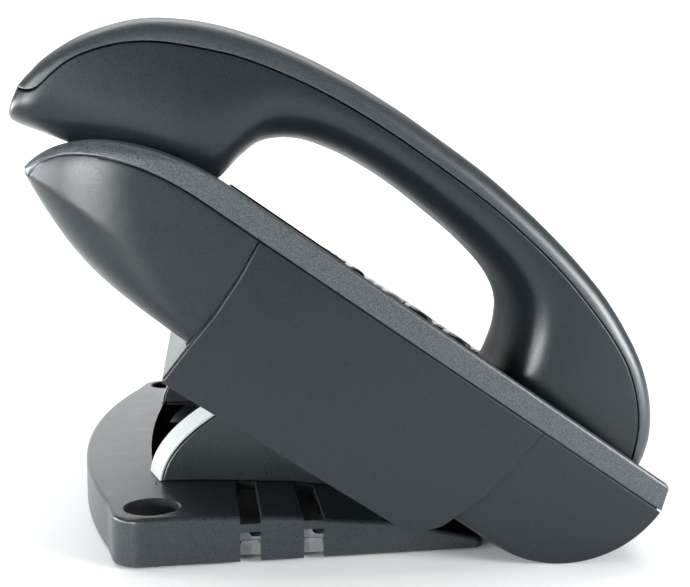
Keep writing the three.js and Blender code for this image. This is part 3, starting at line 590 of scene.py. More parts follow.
def make_bezel():
    seam = seam_levels(0.0)
    start = np.arcsin(np.clip(1 + seam / REAR_EDGE_DROP, -1, 1))
    outer, inner = [], []
    for t in np.linspace(0, 1, 34):
        z = -REAR_EDGE_DROP * (1 - np.sin(start * (1 - t) + math.pi / 2 * t))
        outer.append(console_ring(z))
    base = (seam + WALL) * DEPTH / (DEPTH - 2 * WALL)
    base_start = np.arcsin(np.clip(1 + base / REAR_EDGE_DROP, -1, 1))
    for t in np.linspace(1, 0, 14):
        z = -REAR_EDGE_DROP * (1 - np.sin(base_start * (1 - t) + math.pi / 2 * t))
        inner.append(inner_ring(z))
    outer[0] = console_ring(seam, 0, LIP)
    rise = TONGUE + 0.2
    groove = [console_ring(seam, WALL, rise), console_ring(seam, 1.0, rise), console_ring(seam, 1.0)]
    lip = [console_ring(seam, LIP), console_ring(seam, 0.3 * LIP, 0.3 * LIP)]
    shell = loft("face_bezel_shell", inner + groove + lip + outer)
    split_faces(shell, 9)

    x0, x1, floor = MOUTH_WELL
    tub_sides = HANDSET_Y - WELL_HALF - 1.3, HANDSET_Y + WELL_HALF + 1.3
    ear_tub = prism([(-20, ear_floor(-20) - TUB_FLOOR), (49, ear_floor(49) - TUB_FLOOR), (52.2, -5),
                     (52.2, 6), (-20, 6)], *tub_sides)
    mouth_tub = prism([(x0 - 2.2, floor + 2), (x0 + 2, floor - TUB_FLOOR), (x1 - 2, floor - TUB_FLOOR),
                       (x1 + 1.4, floor + 3), (x1 + 1.4, 6), (x0 - 2.2, 6)], *tub_sides)
    tubs = boolean(join("tubs", [ear_tub, mouth_tub]), [console_solid(0.6)], "INTERSECT")
    shell = boolean(shell, [tubs], "UNION")

    cuts = [well_cutter(-14, EAR_WELL_END, ear_floor, True), well_cutter(x0, x1, lambda x: floor, False)]
    shell = boolean(shell, cuts)
    cuts = [flared_cutter(key_outline(x, y, sx, sy, KEY_PLAY), -7, 0.35) for _, x, y, sx, sy, _ in keys]
    cuts.append(flared_cutter(key_outline(*VOLUME[1:5], KEY_PLAY), -7, 0.35))
    cuts.append(flared_cutter(disc(*NAVIGATION[:3]), -7, 0.35))
    dx0, dx1, dy0, dy1 = DISPLAY
    cuts.append(flared_cutter(rounded_rectangle(dx0, dx1, dy0, dy1, 2.0, 5), -7, 0.35))
    for i in range(9):
        x = 66 + 6 * i
        slot = rounded_rectangle(x, x + 2.2, HANDSET_Y - 15, HANDSET_Y + 15, 1.05, 6)
        cuts.append(flared_cutter(slot, -7, 0.3))
    hx0, hx1, hy0, hy1 = HOOK
    cuts.append(block(hx0 - 0.4, hx1 + 0.4, hy0 - 0.4, hy1 + 0.4, -24, -6))
    for y in CONTACT_YS:
        cuts.append(block(CONTACT_X - 2.4, CONTACT_X + 2.4, y - 1.4, y + 1.4, -14, -7))
    shell = boolean(shell, cuts)
    return finish_piece(shell, to_row, band_charcoal, "console", ["face_bezel"])


make_bezel()


# ---- block and lower housing
def cheek_corners(grow):
    """Side view of the block; its rear edge bows and ends in a corner that reaches back."""
    top = -BAND - SEAM_GAP + grow
    rear = [(62.9 - grow, top, 0), (64.0 - grow, -20, 60), (64.0 - grow, -32, 60), (62.9 - grow, -44, 50)]
    bottom = [(62.2 - grow, -55.4 - grow, 1.2), (67.0, -55.3 - grow, 0), (146.0 + grow, -53.6 - grow, 5)]
    front = [(152.8 + grow, -47.2 - grow, 8), (159.0 + grow, -32.4, 30), (162.6 + grow, top, 0)]
    return rear + bottom + front + [(66.0, top, 0)]


STRUT = (54.0, 67.4)
STRUT_PLAY = 1.2
STRUT_ROOM = (82, 157)
HINGE = (146, -48.8)
JACKS = (92, 124, 34, -30)


def strut_rooms(bottom, top):
    low, high = STRUT[0] - STRUT_PLAY, STRUT[1] + STRUT_PLAY
    return [block(*STRUT_ROOM, low, high, bottom, top), block(*STRUT_ROOM, -high, -low, bottom, top)]


def cylinder_across(x, z, radius, y0, y1, count=32):
    return loft("rod", [across(disc(x, z, radius, count), y0), across(disc(x, z, radius, count), y1)])


def make_housing():
    seam = seam_levels(SEAM_GAP)
    knee = -REAR_EDGE_DROP - 2.5
    outer, inner = [], []
    for t in np.linspace(0, 1, 16):
        z = seam * (1 - t) + np.minimum(seam - 1, knee) * t
        outer.append(console_ring(z))
    outer[0] = console_ring(seam - LIP, 0)
    start = math.sqrt((knee + DEPTH) / (DEPTH - REAR_EDGE_DROP))
    for s in np.linspace(start, 0, 26)[1:]:
        outer.append(console_ring(-DEPTH + (DEPTH - REAR_EDGE_DROP) * s * s))
    base = (seam + WALL) * DEPTH / (DEPTH - 2 * WALL)
    for s in np.linspace(0, start, 8):
        inner.append(inner_ring(-DEPTH + (DEPTH - REAR_EDGE_DROP) * s * s))
    for t in np.linspace(0, 1, 8)[1:]:
        inner.append(inner_ring(np.minimum(base, -1) * t + np.minimum(base - 1, knee) * (1 - t)))
    tongue = [console_ring(seam, WALL, TONGUE), console_ring(seam, 1.15, TONGUE), console_ring(seam, 1.15)]
    lip = [console_ring(seam, LIP), console_ring(seam, 0.3 * LIP, -0.3 * LIP)]
    shell = loft("lower_housing_shell", inner + tongue + lip + outer)
    split_faces(shell, 11)

    outline = filleted(cheek_corners(0.09))
    cuts = [prism(outline, -HALF_WIDTH - 3, -HALF_WIDTH + CHEEK + 0.25),
            prism(outline, HALF_WIDTH - CHEEK - 0.25, HALF_WIDTH + 3)]
    shell = boolean(shell, cuts)
    cuts = strut_rooms(-60, -35)
    x0, x1, half, _ = JACKS
    cuts.append(block(x0 - 0.3, x1 + 0.3, -half - 0.3, half + 0.3, -60, -38))
    for i in range(7):
        slot = rounded_rectangle(30 + 4 * i, 32 + 4 * i, -20, 20, 0.95, 5)
        cuts.append(prism(slot, -60, -35, upward))
    shell = boolean(shell, cuts)
    return finish_piece(shell, to_row, satin_charcoal, "console", ["lower_housing"])


make_housing()


def make_block():
    ceiling = -DEPTH - 0.2
    outline = filleted(cheek_corners(0))
    edge = np.where(outline[:, 0] < 65, 1.1, 0.3)
    shell = rounded_prism("stand_block_shell", outline, -HALF_WIDTH, HALF_WIDTH, edge, steps=6)
    split_faces(shell, 11)
    inside = HALF_WIDTH - CHEEK
    hollow = [(BLOCK_REAR + CHEEK, ceiling - 2.2), (BLOCK_REAR + CHEEK, -90), (145 - CHEEK, -90),
              (145 - CHEEK, BLOCK_BOTTOM), (150 - CHEEK, -48.8), (BLOCK_FRONT - CHEEK - 1.5, ceiling - 2.2)]
    cuts = [block(40, 190, -inside, inside, ceiling, 20), prism(hollow, -inside, inside)]
    shell = boolean(shell, cuts)
    ears = []
    for y0 in (STRUT[0] - 4.4, STRUT[1] + 1):
        for sign in (-1, 1):
            low, high = sorted((sign * y0, sign * (y0 + 3.4)))
            ear = filleted([(HINGE[0] - 5.2, ceiling - 1, 0), (HINGE[0] - 5.2, HINGE[1] - 5.2, 5.1),
                            (HINGE[0] + 5.2, HINGE[1] - 5.2, 5.1), (HINGE[0] + 5.2, ceiling - 1, 0)], 10)
            ears.append(prism(ear, low, high))
    shell = boolean(shell, ears, "UNION")
    x0, x1, half, _ = JACKS
    cuts = strut_rooms(-80, 0) + [block(x0 - 3, x1 + 3, -half - 3, half + 3, -50, 0)]
    shell = boolean(shell, cuts)
    shell = boolean(shell, [cylinder_across(*HINGE, 2.8, -90, 90)])
    return finish_piece(shell, to_row, satin_charcoal, "console", ["stand_block"])


make_block()


# ---- handset
# A point on the outer back, the matching point on the face side, and half the width there.
STATIONS = np.array([
    [-14.8, -10.8, -13.5, -17.6, 12], [-14.7, -9.6, -13.1, -18.6, 17.5], [-14.6, -7.0, -12.0, -19.3, 20.8],
    [-14.2, -3.5, -9.8, -19.1, 22.6], [-13.2, 1.5, -5.0, -17.9, 23.5], [-9.8, 9.9, 3.7, -15.9, 24.1],
    [-4.7, 17.8, 14, -13.7, 24.5], [2.5, 25.6, 26, -11.1, 24.8], [11.9, 31.9, 37, -8.7, 25],
    [21.6, 36.5, 42.8, -4.5, 25], [30.7, 39.6, 45.2, 1.2, 24.8], [38.2, 41.6, 46.5, 8.9, 24.5],
    [45.3, 43.1, 49.1, 16.2, 24.2], [52.8, 44.3, 55.0, 21.7, 24], [62.1, 45.4, 63.0, 25.3, 23.8],
    [76, 46.3, 76.2, 27.8, 23.6], [90, 46.4, 90.5, 28.4, 23.5], [107, 46.1, 106, 27.5, 23.6],
    [121.2, 44.7, 118.5, 26.2, 23.8], [134.3, 42.8, 130.5, 23.5, 24], [147.5, 40.1, 139, 18.8, 24.3],
    [159.7, 36.6, 143.6, 11.5, 24.6], [170.9, 31.9, 145.8, 3.0, 24.9], [181, 26.3, 147.5, -5.0, 25],
    [189.8, 19.0, 158, -7.6, 24.7], [196.1, 10.9, 174, -7.6, 24.0], [199.2, 4.1, 186, -7.5, 22.8],
    [200.7, -1.2, 193, -6.9, 20.5], [200.5, -3.7, 196, -6.2, 16],
])
HANDSET_SEAM = np.array([
    [-16, -11.3], [-13.7, -10.5], [-11.6, -9.9], [-10, -8.6], [-9.1, -6.7], [-8.4, -3.4], [-6.9, 2.1],
    [-4.7, 6.4], [-2.1, 10.1], [0.7, 13.4], [3.9, 16.5], [8.9, 20.3], [14.5, 23.5], [22.3, 27.2],
    [33.4, 31.5], [53.2, 35.9], [75.6, 38.0], [102.1, 38.2], [118, 37.4], [133.1, 35.5], [144.4, 33.3],
    [154.2, 30.6], [164.7, 27.1],
    [174.3, 22.8], [181.1, 18], [186.2, 13.1], [190.1, 7.9], [193.7, 0.6], [195.3, -3], [199, -10],
])


def smooth_line(points, steps):
    """Catmull-Rom curve through rows of numbers."""
    points = np.asarray(points, float)
    padded = np.vstack([2 * points[0] - points[1], points, 2 * points[-1] - points[-2]])
    rows = []
    for i in range(len(points) - 1):
        a, b, c, d = padded[i:i + 4]
        for t in np.arange(steps) / steps:
            rows.append(0.5 * (2 * b + (c - a) * t + (2 * a - 5 * b + 4 * c - d) * t ** 2
                               + (3 * b - a - 3 * c + d) * t ** 3))
    rows.append(points[-1])
    return np.array(rows)


def seam_fraction(station, line):
    """How far along a station, from its face side to its back, the seam crosses it."""
    start, end = station[2:4], station[0:2]
    best = None
    run = end - start
    for a, b in zip(line[:-1], line[1:]):
        step = b - a
        cross = run[0] * step[1] - run[1] * step[0]
        if abs(cross) < 1e-9:
            continue
        t = ((a[0] - start[0]) * step[1] - (a[1] - start[1]) * step[0]) / cross
        u = ((a[0] - start[0]) * run[1] - (a[1] - start[1]) * run[0]) / cross
        if -1e-6 <= u <= 1 + 1e-6 and 0 < t < 1.2:
            best = t if best is None else min(best, t)
    return best


def arc_points(cy, cz, ry, rz, start, end, count):
    angles = np.radians(np.linspace(start, end, count))
    return [(cy + ry * math.cos(a), cz + rz * math.sin(a)) for a in angles]


def face_path(half, edge, grip):
    """Half outline of the face shell's section, from the seam edge down to the middle."""
    height = edge - LIP
    draft = 1.2 * (1 - grip)
    power = 4.0 - 1.2 * grip
    path = [(half - LIP, edge), (half - 0.3 * LIP, edge - 0.3 * LIP)]
    for angle in np.radians(np.linspace(0, 90, 34)):
        c, s = math.cos(angle), math.sin(angle)
        reach = (c ** power + s ** power) ** (-1 / power)
        path.append(((half - draft * (reach * s) ** 2) * reach * c, height * (1 - reach * s)))
    path[-1] = (0.0, path[-1][1])
    return path


def back_path(length, half, edge):
    """Half outline of the back shell's section, from the seam edge up to the middle."""
    crown = 1.0
    room = max(length - edge - crown, 0.6)
    rz = max(min(5.6, room - LIP - 0.1), 0.3)
    ry = 6.2
    path = [(half - LIP, edge), (half - 0.3 * LIP, edge + 0.3 * LIP), (half, edge + LIP)]
    top = length - crown
    for t in np.linspace(0, 1, 4)[1:-1]:
        path.append((half, (edge + LIP) * (1 - t) + (top - rz) * t))
    path += arc_points(half - ry, top - rz, ry, rz, 0, 90, 12)
    for t in np.linspace(0, 1, 8)[1:]:
        y = (half - ry) * (1 - t)
        path.append((y, top + crown * (1 - (y / (half - ry)) ** 2)))
    return path


def shell_ring(station, path, edge, span, keep):
    """Closed ring of a shell's section: its outer path, and back along its inner side."""
    outer = np.array(path)
    outer = np.vstack([outer, (outer * [-1, 1])[-2::-1]])
    half = station[4]
    scale_y = max(half - WALL, 0.1) / half * keep
    scale_z = max(span - WALL, 0.1) / span * keep
    core = np.array([0, edge])
    inner = core + (outer - core) * [scale_y, scale_z]
    both = np.vstack([outer, inner[::-1]])
    length = np.linalg.norm(station[0:2] - station[2:4])
    direction = (station[0:2] - station[2:4]) / length
    x = station[2] + direction[0] * both[:, 1]
    z = station[3] + direction[1] * both[:, 1]
    return np.stack([x, HANDSET_Y + both[:, 0], z], 1)


def grip_share(t):
    """1 along the grip, falling to 0 at the ear and the mouth."""
    rise = np.clip((t - 0.22) / 0.24, 0, 1) * np.clip((0.84 - t) / 0.24, 0, 1)
    return float(rise * rise * (3 - 2 * rise))


def handset_rings(face):
    line = smooth_line(HANDSET_SEAM, 8)
    stations = smooth_line(STATIONS, 5)
    rings = []
    last = len(stations) - 1
    for i, station in enumerate(stations):
        length = np.linalg.norm(station[0:2] - station[2:4])
        edge = min(seam_fraction(station, line) or 0.97, 0.97) * length
        keep = min(1.0, max(0.0, (min(i, last - i) - 1) / 6))
        if face:
            edge -= SEAM_GAP / 2
            path = face_path(station[4], edge, grip_share(i / last))
            rings.append(shell_ring(station, path, edge, edge, keep))
        else:
            edge = min(edge + SEAM_GAP / 2, length - 0.9)
            path = back_path(length, station[4], edge)
            rings.append(shell_ring(station, path, edge, length - edge, keep))
    return rings


def make_handset():
    face = loft("handset_face_cover", handset_rings(True))
    back = loft("handset_back_cover", handset_rings(False))
    holes = []
    slope = math.atan(EAR_SLOPE)
    for ring_radius, count in ((0, 1), (3.4, 6), (6.8, 12)):
        for k in range(count):
            angle = 2 * math.pi * k / count
            x, y = ring_radius * math.cos(angle), ring_radius * math.sin(angle)
            hole = prism(disc(x, y, 0.75, 16), -5, 5, upward)
            hole.data.transform(Matrix.Translation((14, HANDSET_Y, -13.2)) @ Matrix.Rotation(-slope, 4, "Y"))
            holes.append(hole)
    for dy in (-3, 0, 3):
        holes.append(prism(disc(177, HANDSET_Y + dy, 0.6, 14), -10, -2, upward))
    for y in CONTACT_YS:
        holes.append(block(CONTACT_X - 4.3, CONTACT_X + 4.3, y - 2.3, y + 2.3, -10, -6.6))
    face = boolean(face, holes)
    finish_piece(face, to_row, satin_charcoal, "handset", ["handset_face_shell"], 40)
    finish_piece(back, to_row, back_charcoal, "handset", ["handset_back_shell"], 40)


make_handset()


# ---- keys
def key_cap(name, x, y, sx, sy, top, dome):
    flange = key_outline(x, y, sx, sy, 0.8)
    rings = [upward(flange, KEY_BOTTOM), upward(flange, FLANGE_TOP)]
    rings.append(upward(key_outline(x, y, sx, sy), STEM_BOTTOM))
    shoulder = top - dome
    for k in range(9):
        t = k / 8
        angle = math.pi / 2 * t
        grow = -1.6 * (1 - math.cos(angle))
        height = shoulder - 0.8 + (0.8 + dome * 0.5) * math.sin(angle)
        rings.append(upward(key_outline(x, y, sx, sy, grow), height))
    last = rings[-1]
    centre = np.array([x, y])
    for t in (0.8, 0.55, 0.3, 0.1):
        ring = last.copy()
        ring[:, :2] = centre + (last[:, :2] - centre) * t
        ring[:, 2] = shoulder + dome * 0.5 + dome * 0.5 * (1 - t * t)
        rings.append(ring)
    return loft(name, rings)


def legend(name, text, x, y, z, size, body):
    curve = bpy.data.curves.new(name, "FONT")
    curve.body = text
    curve.size = size
    curve.align_x = "CENTER"
    curve.align_y = "CENTER"
    curve.extrude = 0.12
    helper = bpy.data.objects.new(name + "_curve", curve)
    bpy.context.scene.collection.objects.link(helper)
    bpy.context.view_layer.update()
    mesh = bpy.data.meshes.new_from_object(helper.evaluated_get(bpy.context.evaluated_depsgraph_get()))
    bpy.data.objects.remove(helper)
    obj = new_object(name, mesh)
    place = Matrix.Translation((x, y, z)) @ Matrix.Rotation(math.radians(90), 4, "Z")
    return finish_piece(obj, to_row @ place, legend_white, body, None)


def make_keys():
    for name, x, y, sx, sy, text in keys:
        silver = name.startswith("function")
        top, dome = (1.9, 0.7) if text else (1.5, 0.35)
        cap = key_cap(name + "_cap", x, y, sx, sy, top, dome)
        material = key_silver if silver else key_black
        finish_piece(cap, to_row, material, name, [name])
        if text:
            shown = {"star": "*", "hash": "#"}.get(text, text)
            legend(name + "_digit", shown, x, y, top - 0.10, 5.6, name)
    name, x, y, sx, sy, _ = VOLUME
    rocker = key_cap("volume_rocker_cap", x, y, sx, sy, 1.6, 0.4)
    finish_piece(rocker, to_row, key_black, name, [name])
    for dy, text in ((-14, "-"), (14, "+")):
        legend(f"volume_mark_{'low' if dy < 0 else 'high'}", text, x, y + dy, 1.52, 7, name)


make_keys()


def turned(name, profile, x, y, count=64):
    """Solid turned about an upright axis, from a closed profile of (radius, height)."""
    profile = np.asarray(profile, float)
    angles = np.arange(count) * 2 * math.pi / count
    rings = [np.stack([x + profile[:, 0] * math.cos(a), y + profile[:, 0] * math.sin(a), profile[:, 1]], 1)
             for a in angles]
    size = len(profile)
    faces = []
    for i in range(count):
        a, b = i * size, ((i + 1) % count) * size
        for j in range(size):
            k = (j + 1) % size
            faces.append((a + j, a + k, b + k, b + j))
    return new_object(name, mesh_of(name, np.concatenate(rings), faces))


def make_navigation():
    x, y, radius, middle = NAVIGATION
    inner = middle + KEY_PLAY
    outer = radius - KEY_PLAY
    edge = filleted([(inner, KEY_BOTTOM, 0), (radius + 0.7, KEY_BOTTOM, 0), (radius + 0.7, FLANGE_TOP, 0),
                     (outer, STEM_BOTTOM, 0), (outer, 1.3, 1.1), (inner + 3.0, 0.75, 2.0),
                     (inner, 0.3, 0.4)], 6)
    finish_piece(turned("navigation_ring", edge, x, y), to_row, key_silver, "navigation_key",
                 ["navigation_key"])
    cap = filleted([(0, KEY_BOTTOM, 0), (middle, KEY_BOTTOM, 0), (middle, 1.25, 0.9), (2.5, 1.6, 2),
                    (0, 1.6, 0)], 6)
    select = turned("select_cap", cap, x, y)
    finish_piece(select, to_row, key_black, "select_key", ["select_key"])
    for k in range(4):
        angle = math.pi / 2 * k
        arrow = [(-1.5, -1.1), (1.5, -1.1), (0, 1.2)]
        mark = prism(arrow, -0.25, 0.05, upward)
        place = (Matrix.Translation((x, y, 1.2)) @ Matrix.Rotation(angle, 4, "Z")
                 @ Matrix.Translation((0, radius - 4.2, 0)))
        mark.name = f"navigation_arrow_{k + 1}"
        finish_piece(mark, to_row @ place, key_black, "navigation_key", None)


make_navigation()


# ---- display
def make_display():
    """A glossy dark window, with the screen's lighter area flush in it."""
    x0, x1, y0, y1 = DISPLAY
    outline = rounded_rectangle(x0 + 0.3, x1 - 0.3, y0 + 0.3, y1 - 0.3, 1.8, 6)
    lens = rounded_prism("display_window", outline, -1.6, 0.8, 0.35, upward)
    finish_piece(lens, to_row, window_black, "console", ["display_lens"])
    panel = rounded_prism("display_panel", rounded_rectangle(x0 + 4, x1 - 4, y0 + 6, y1 - 6, 0.6, 4),
                          0.3, 0.82, 0.02, upward)
    finish_piece(panel, to_row, panel_grey, "console", None)


make_display()


# ---- foot
DECK_LINE = np.array([(-188, 15.4), (-140, 15.4), (-127, 14.7), (-108, 13.6), (-102, 12.7), (-87, 11.2),
                      (-80, 10.4), (-64, 6.6), (-52, 3.4)])
RIM_X, RIM_RADIUS = -179.6, 298.0
FOOT_FRONT = -52.0
FOOT_HALF = (105.9, 101.8)
FOOT_BOTTOM = 0.8
FOOT_WALL = 2.5
SLOT_CENTRES = (-123.5, -104.6)
SLOT_WIDTH = 6.1
BOLT_HOLE = (-152.6, 94, 8.15)


def deck_height(x):
    return np.interp(x, DECK_LINE[:, 0], DECK_LINE[:, 1])


def foot_outline():
    corners = [(FOOT_FRONT, -FOOT_HALF[1], 3), (FOOT_FRONT, FOOT_HALF[1], 3), (-162.6, FOOT_HALF[0] + 0.4, 9)]
    rim = [(RIM_X + RIM_RADIUS - math.sqrt(RIM_RADIUS ** 2 - y * y), y, 0) for y in np.linspace(88, -88, 45)]
    corners += rim + [(-162.6, -FOOT_HALF[0] - 0.4, 9)]
    rounded = filleted(corners, 9)
    points = []
    for a, b in zip(rounded, np.roll(rounded, -1, axis=0)):
        steps = max(1, int(np.linalg.norm(b - a) / 5))
        points += [a + (b - a) * k / steps for k in range(steps)]
    return np.array(points)


def deck_opening():
    points = [(-95, -50, 3), (-95, 50, 3), (-151.6, 50, 0), (-151.6, 72, 0)]
    points += [(-157 + y * y / 1080, y, 0) for y in np.linspace(72, -72, 25)]
    points += [(-151.6, -72, 0), (-151.6, -50, 0)]
    return filleted(points[::-1], 6)


def on_deck(outline, drop, share=1.0):
    """Ring that lies drop under the deck, with its outline shrunk to share around the foot's middle."""
    middle = np.array([-110.0, 0.0])
    xy = middle + (outline[:, :2] - middle) * share
    return upward(xy, deck_height(xy[:, 0]) - drop)


def make_foot():
    outline = foot_outline()
    edge = 1.3
    rings = []
    inside = inset_outline(outline, FOOT_WALL)
    shares = (0.02, 0.15, 0.3, 0.45, 0.6, 0.72, 0.82, 0.9, 0.96)
    for t in shares:
        rings.append(on_deck(inside, FOOT_WALL, t))
    rings.append(on_deck(inside, FOOT_WALL))
    rings.append(upward(inside, FOOT_BOTTOM + 0.3))
    rings.append(upward(inset_outline(outline, 2.2), FOOT_BOTTOM))
    rings.append(upward(inset_outline(outline, 0.4), FOOT_BOTTOM))
    rings.append(upward(outline, FOOT_BOTTOM + 0.4))
    for k in range(1, 4):
        height = FOOT_BOTTOM + 0.4 + (deck_height(outline[:, 0]) - edge - FOOT_BOTTOM - 0.4) * k / 4
        rings.append(np.stack([outline[:, 0], outline[:, 1], height], 1))
    for k in range(7):
        angle = math.pi / 12 * k
        moved = inset_outline(outline, edge * (1 - math.cos(angle)))
        rings.append(on_deck(moved, edge * (1 - math.sin(angle))))
    top = rings[-1]
    for t in (0.985, *shares[::-1]):
        rings.append(on_deck(top, 0.0, t))
    shell = loft("foot_shell", rings)
    split_faces(shell, 11)

    bosses = [prism(disc(-136, sign * 95, 8, 40), 1.5, 13.5, upward) for sign in (-1, 1)]
    bosses.append(prism([(-72, -87), (-56, -87), (-56, 87), (-72, 87)], 1.5, 4.2, upward))
    shell = boolean(shell, bosses, "UNION")
    cuts = [flared_cutter(deck_opening(), -5, 0.8, 15.4)]
    for sign in (-1, 1):
        x, y, radius = BOLT_HOLE
        cuts.append(flared_cutter(disc(x, sign * y, radius), 4, 0.5, 15.4))
    shell = boolean(shell, cuts)
    for centre in SLOT_CENTRES:
        x0, x1 = centre - SLOT_WIDTH / 2, centre + SLOT_WIDTH / 2
        for sign in (-1, 1):
            for near, far, bottom, top in ((68.4, 97.9, -5, 30), (97.9, 120, 12.3, 30), (97.9, 120, -5, 9.8)):
                low, high = sorted((sign * near, sign * far))
                shell = boolean(shell, [block(x0, x1, low, high, bottom, top)])
            left, right, chamfer = deck_height(x0), deck_height(x1), 0.35
            mouth = [(x0 - chamfer, left + 0.03), (x0, left - chamfer), (x1, right - chamfer),
                     (x1 + chamfer, right + 0.03), (x1 + chamfer, 30), (x0 - chamfer, 30)]
            shell = boolean(shell, [prism(mouth, *sorted((sign * 68.1, sign * 120)))])
    return finish_piece(shell, foot_to_row, foot_charcoal, "foot", ["foot_plate"])


make_foot()


# ---- struts
STRUT_SKEW = 3.7  # a strut's rear face leans back by this much towards the middle
TRIM = 0.7
hinge = foot_to_row.inverted() @ to_row @ Vector((HINGE[0], 0, HINGE[1]))


def quadratic(start, control, end, steps=14):
    t = np.linspace(0, 1, steps + 1)[:, None]
    start, control, end = (np.asarray(point, float) for point in (start, control, end))
    return start * (1 - t) ** 2 + 2 * control * t * (1 - t) + end * t ** 2


def strut_rear(back):
    """Curved rear edge of a strut, from its foot up, set back by the given depth."""
    return quadratic((-151.1 + back, 15.6), (-149.6 + back * 0.8, 27 - back * 0.6),
                     (-133.4 + back * 0.5, 37.4 - back * 0.9))


def skew(obj):
    """Leans the rear face back towards the middle."""
    for vertex in obj.data.vertices:
        if vertex.co.x < -100:
            share = (STRUT[1] - abs(vertex.co.y)) / (STRUT[1] - STRUT[0])
            vertex.co.x -= STRUT_SKEW * share
    return obj


def make_struts():
    rear = strut_rear(TRIM + 0.4)
    top = quadratic((-124, 42.5), (-118, 46.1), (-112, 44.5))
    foot_line = [(x, deck_height(x) + 0.15) for x in np.linspace(rear[0, 0], hinge.x + 5.5, 30)]
    body = foot_line + [(hinge.x + 5.5, hinge.z + 1), (hinge.x - 2, hinge.z + 6)]
    body += [tuple(p) for p in top[::-1]] + [tuple(p) for p in rear[::-1][:-1]]
    strip = np.vstack([strut_rear(TRIM), strut_rear(0)[::-1]])
    for side, sign in (("left", -1), ("right", 1)):
        low, high = sorted((sign * STRUT[0], sign * STRUT[1]))
        strut = skew(rounded_prism("strut_body_" + side, np.array(body), low, high, 0.45))
        knuckle = cylinder_across(hinge.x, hinge.z, 5, low, high, 48)
        strut = boolean(strut, [knuckle], "UNION")
        strut = boolean(strut, [cylinder_across(hinge.x, hinge.z, 2.8, -90, 90, 48)])
        finish_piece(strut, foot_to_row, foot_charcoal, "foot", ["strut_" + side])
        trim = skew(rounded_prism("strut_strip_" + side, strip, low + 0.2, high - 0.2, 0.12))
        finish_piece(trim, foot_to_row, silver_strip, "foot", ["strut_trim_" + side])


make_struts()


# ---- pins, pads and clips
def size_of(node):
    """A CAD node's box in millimetres: its lowest and highest corners."""
    return [np.array(corner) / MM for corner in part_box(node)]


row_frame = Matrix.Scale(MM, 4)


def make_pins():
    for node in ("hinge_pin_left", "hinge_pin_right"):
        low, high = size_of(node)
        x, _, z = (low + high) / 2
        pin = rounded_prism(node + "_rod", disc(x, z, 2.5, 64), low[1], high[1], 0.5)
        finish_piece(pin, row_frame, plated_steel, "foot", [node])


def make_pads():
    for node in ("rear_pad_1", "rear_pad_2"):
        low, high = size_of(node)
        x, y, _ = (low + high) / 2
        pad = rounded_prism(node + "_disc", disc(x, y, 6.5, 64), low[2], high[2], 0.4, upward)
        finish_piece(pad, row_frame, black_rubber, "foot", [node])
    treads = {"front_pad_strip": "foot", "front_pad_left": "console", "front_pad_right": "console"}
    for node, body in treads.items():
        low, high = size_of(node)
        outline = rounded_rectangle(low[0], high[0], low[1], high[1], 1.6)
        pad = rounded_prism(node + "_tread", outline, low[2], high[2], 0.4, upward)
        ribs = [block(low[0] + 1.6, high[0] - 1.6, y, y + 0.8, low[2] - 1, low[2] + 0.3)
                for y in np.arange(low[1] + 2, high[1] - 2, 2.4)]
        finish_piece(boolean(pad, ribs), row_frame, black_rubber, body, [node])


def make_clips():
    """Pale plates behind the slots in the foot's sides, each with two cable holes."""
    for side, sign in (("left", -1), ("right", 1)):
        low, high = sorted((sign * 98.6, sign * 101.0))
        outline = rounded_rectangle(SLOT_CENTRES[0] - 5.5, SLOT_CENTRES[1] + 5.5, 1.5, 9.6, 0.8, 4)
        clip = rounded_prism("cable_plate_" + side, outline, low, high, 0.3)
        for centre in SLOT_CENTRES:
            hole = rounded_rectangle(centre - 0.3, centre + 4.4, 7.2, 12.5, 1.6)
            clip = boolean(clip, [prism(hole, low - 1, high + 1)])
            ledge = rounded_rectangle(centre - 2.7, centre + 2.7, 5.0, 6.2, 0.5, 4)
            clip = boolean(clip, [prism(ledge, *sorted((sign * 100.8, sign * 101.5)))], "UNION")
        finish_piece(clip, foot_to_row, pale_plastic, "foot", ["cable_clip_" + side])


def make_hook():
    x0, x1, y0, y1 = HOOK
    floor = ear_floor((x0 + x1) / 2)
    outline = filleted([(x0, floor - 9, 0.5), (x1, floor - 9, 0.5), (x1, ear_floor(x1) + 0.8, 2),
                        (x0, ear_floor(x0) + 0.8, 2)], 6)
    tab = rounded_prism("hook_tab", outline, y0, y1, 0.6)
    flange = block(x0 - 2, x1 + 2, y0 - 2, y1 + 2, floor - 10.5, floor - 8.8)
    finish_piece(boolean(tab, [flange], "UNION"), to_row, key_black, "hook", ["hook_switch"])


def make_screws():
    """Pan heads with a cross recess, facing down from the belly."""
    for i, y in enumerate((92, -92)):
        profile = filleted([(0, -48.6, 0), (2.9, -48.6, 1.0), (2.9, -46.4, 0), (1.5, -46.4, 0),
                            (1.5, -37, 0.3), (0, -37, 0)], 5)
        screw = turned(f"cross_screw_{i + 1}", profile, 74, y, 48)
        for dx, dy in ((0.4, 1.7), (1.7, 0.4)):
            screw = boolean(screw, [block(74 - dx, 74 + dx, y - dy, y + dy, -50, -47.5)])
        finish_piece(screw, to_row, plated_steel, "console", [f"housing_screw_{i + 1}"])


make_pins()
make_pads()
make_clips()
make_hook()
make_screws()


# ---- looks of the CAD pieces that stay
def dress(material, *nodes):
    for node in nodes:
        for slot in bpy.data.objects[node].material_slots:
            slot.material = material


dress(dark_plastic, "jack_block", "loudspeaker", "receiver_capsule", "microphone_capsule")
dress(pale_plastic, "display_module")
dress(black_rubber, "key_mat")
dress(board_green, "main_board", "handset_board")
dress(cell_blue, "handset_battery")
dress(plated_gold, "charge_contacts", "handset_contact_1", "handset_contact_2")


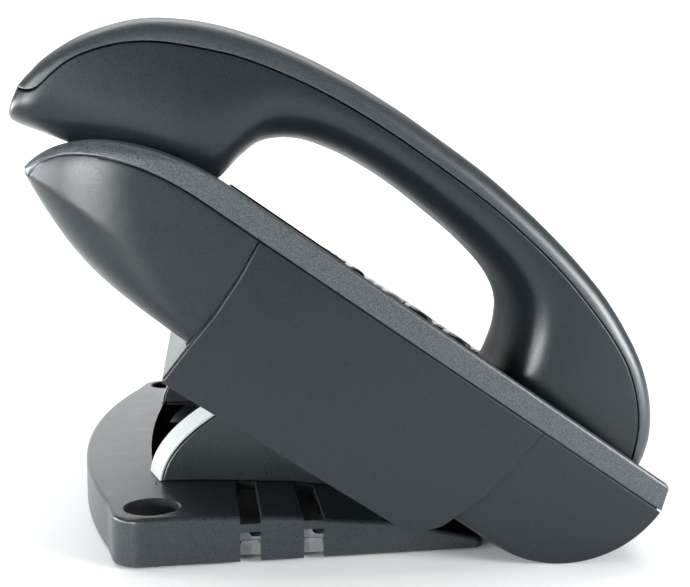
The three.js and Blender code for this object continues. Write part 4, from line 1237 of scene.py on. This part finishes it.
# ---- lights and floor
def area_light(name, location, target, size, power, color=(0.96, 0.99, 1.0)):
    data = bpy.data.lights.new(name, "AREA")
    data.shape = "RECTANGLE"
    data.size, data.size_y = size
    data.energy = power
    data.color = color
    light = bpy.data.objects.new(name, data)
    light.location = location
    light.rotation_euler = (Vector(target) - Vector(location)).to_track_quat("-Z", "Y").to_euler()
    bpy.context.scene.collection.objects.link(light)


def add_stage():
    profile = [(-3.0, 0.0), (1.2, 0.0)]
    for k in range(1, 13):
        angle = math.radians(7.5 * k)
        profile.append((1.2 + 0.8 * math.sin(angle), 0.8 * (1 - math.cos(angle))))
    profile.append((2.0, 4.0))
    vertices, faces = [], []
    for y, z in profile:
        vertices += [(-5, y, z), (5, y, z)]
    for i in range(len(profile) - 1):
        faces.append((2 * i, 2 * i + 1, 2 * i + 3, 2 * i + 2))
    mesh = bpy.data.meshes.new("floor")
    mesh.from_pydata(vertices, [], faces)
    floor = new_object("floor", mesh)
    for polygon in mesh.polygons:
        polygon.use_smooth = True
    material, tree, shader = principled("floor_paper")
    shader.inputs["Base Color"].default_value = (0.86, 0.86, 0.86, 1)
    shader.inputs["Roughness"].default_value = 0.6
    floor.data.materials.append(material)
    world = bpy.data.worlds.new("studio")
    world.use_nodes = True
    world.node_tree.nodes["Background"].inputs["Color"].default_value = (1, 1, 1, 1)
    world.node_tree.nodes["Background"].inputs["Strength"].default_value = 0.08
    bpy.context.scene.world = world


add_stage()
area_light("top_light", (0.1, 0.40, 1.5), (0.05, 0.1, 0), (1.8, 1.4), 18)
area_light("left_light", (-0.60, -0.88, 0.08), (-0.05, -0.1, 0.08), (0.40, 0.34), 14)
area_light("right_light", (0.82, -0.66, 0.24), (0.05, -0.1, 0.09), (0.48, 0.44), 19)
area_light("rim_light", (-1.05, -0.10, 0.16), (-0.05, -0.1, 0.08), (1.5, 0.34), 28)
area_light("backdrop_light", (0, 0.6, 1.9), (0, 2.0, 0.5), (2.5, 0.4), 50)
bpy.context.scene.view_settings.view_transform = "Standard"
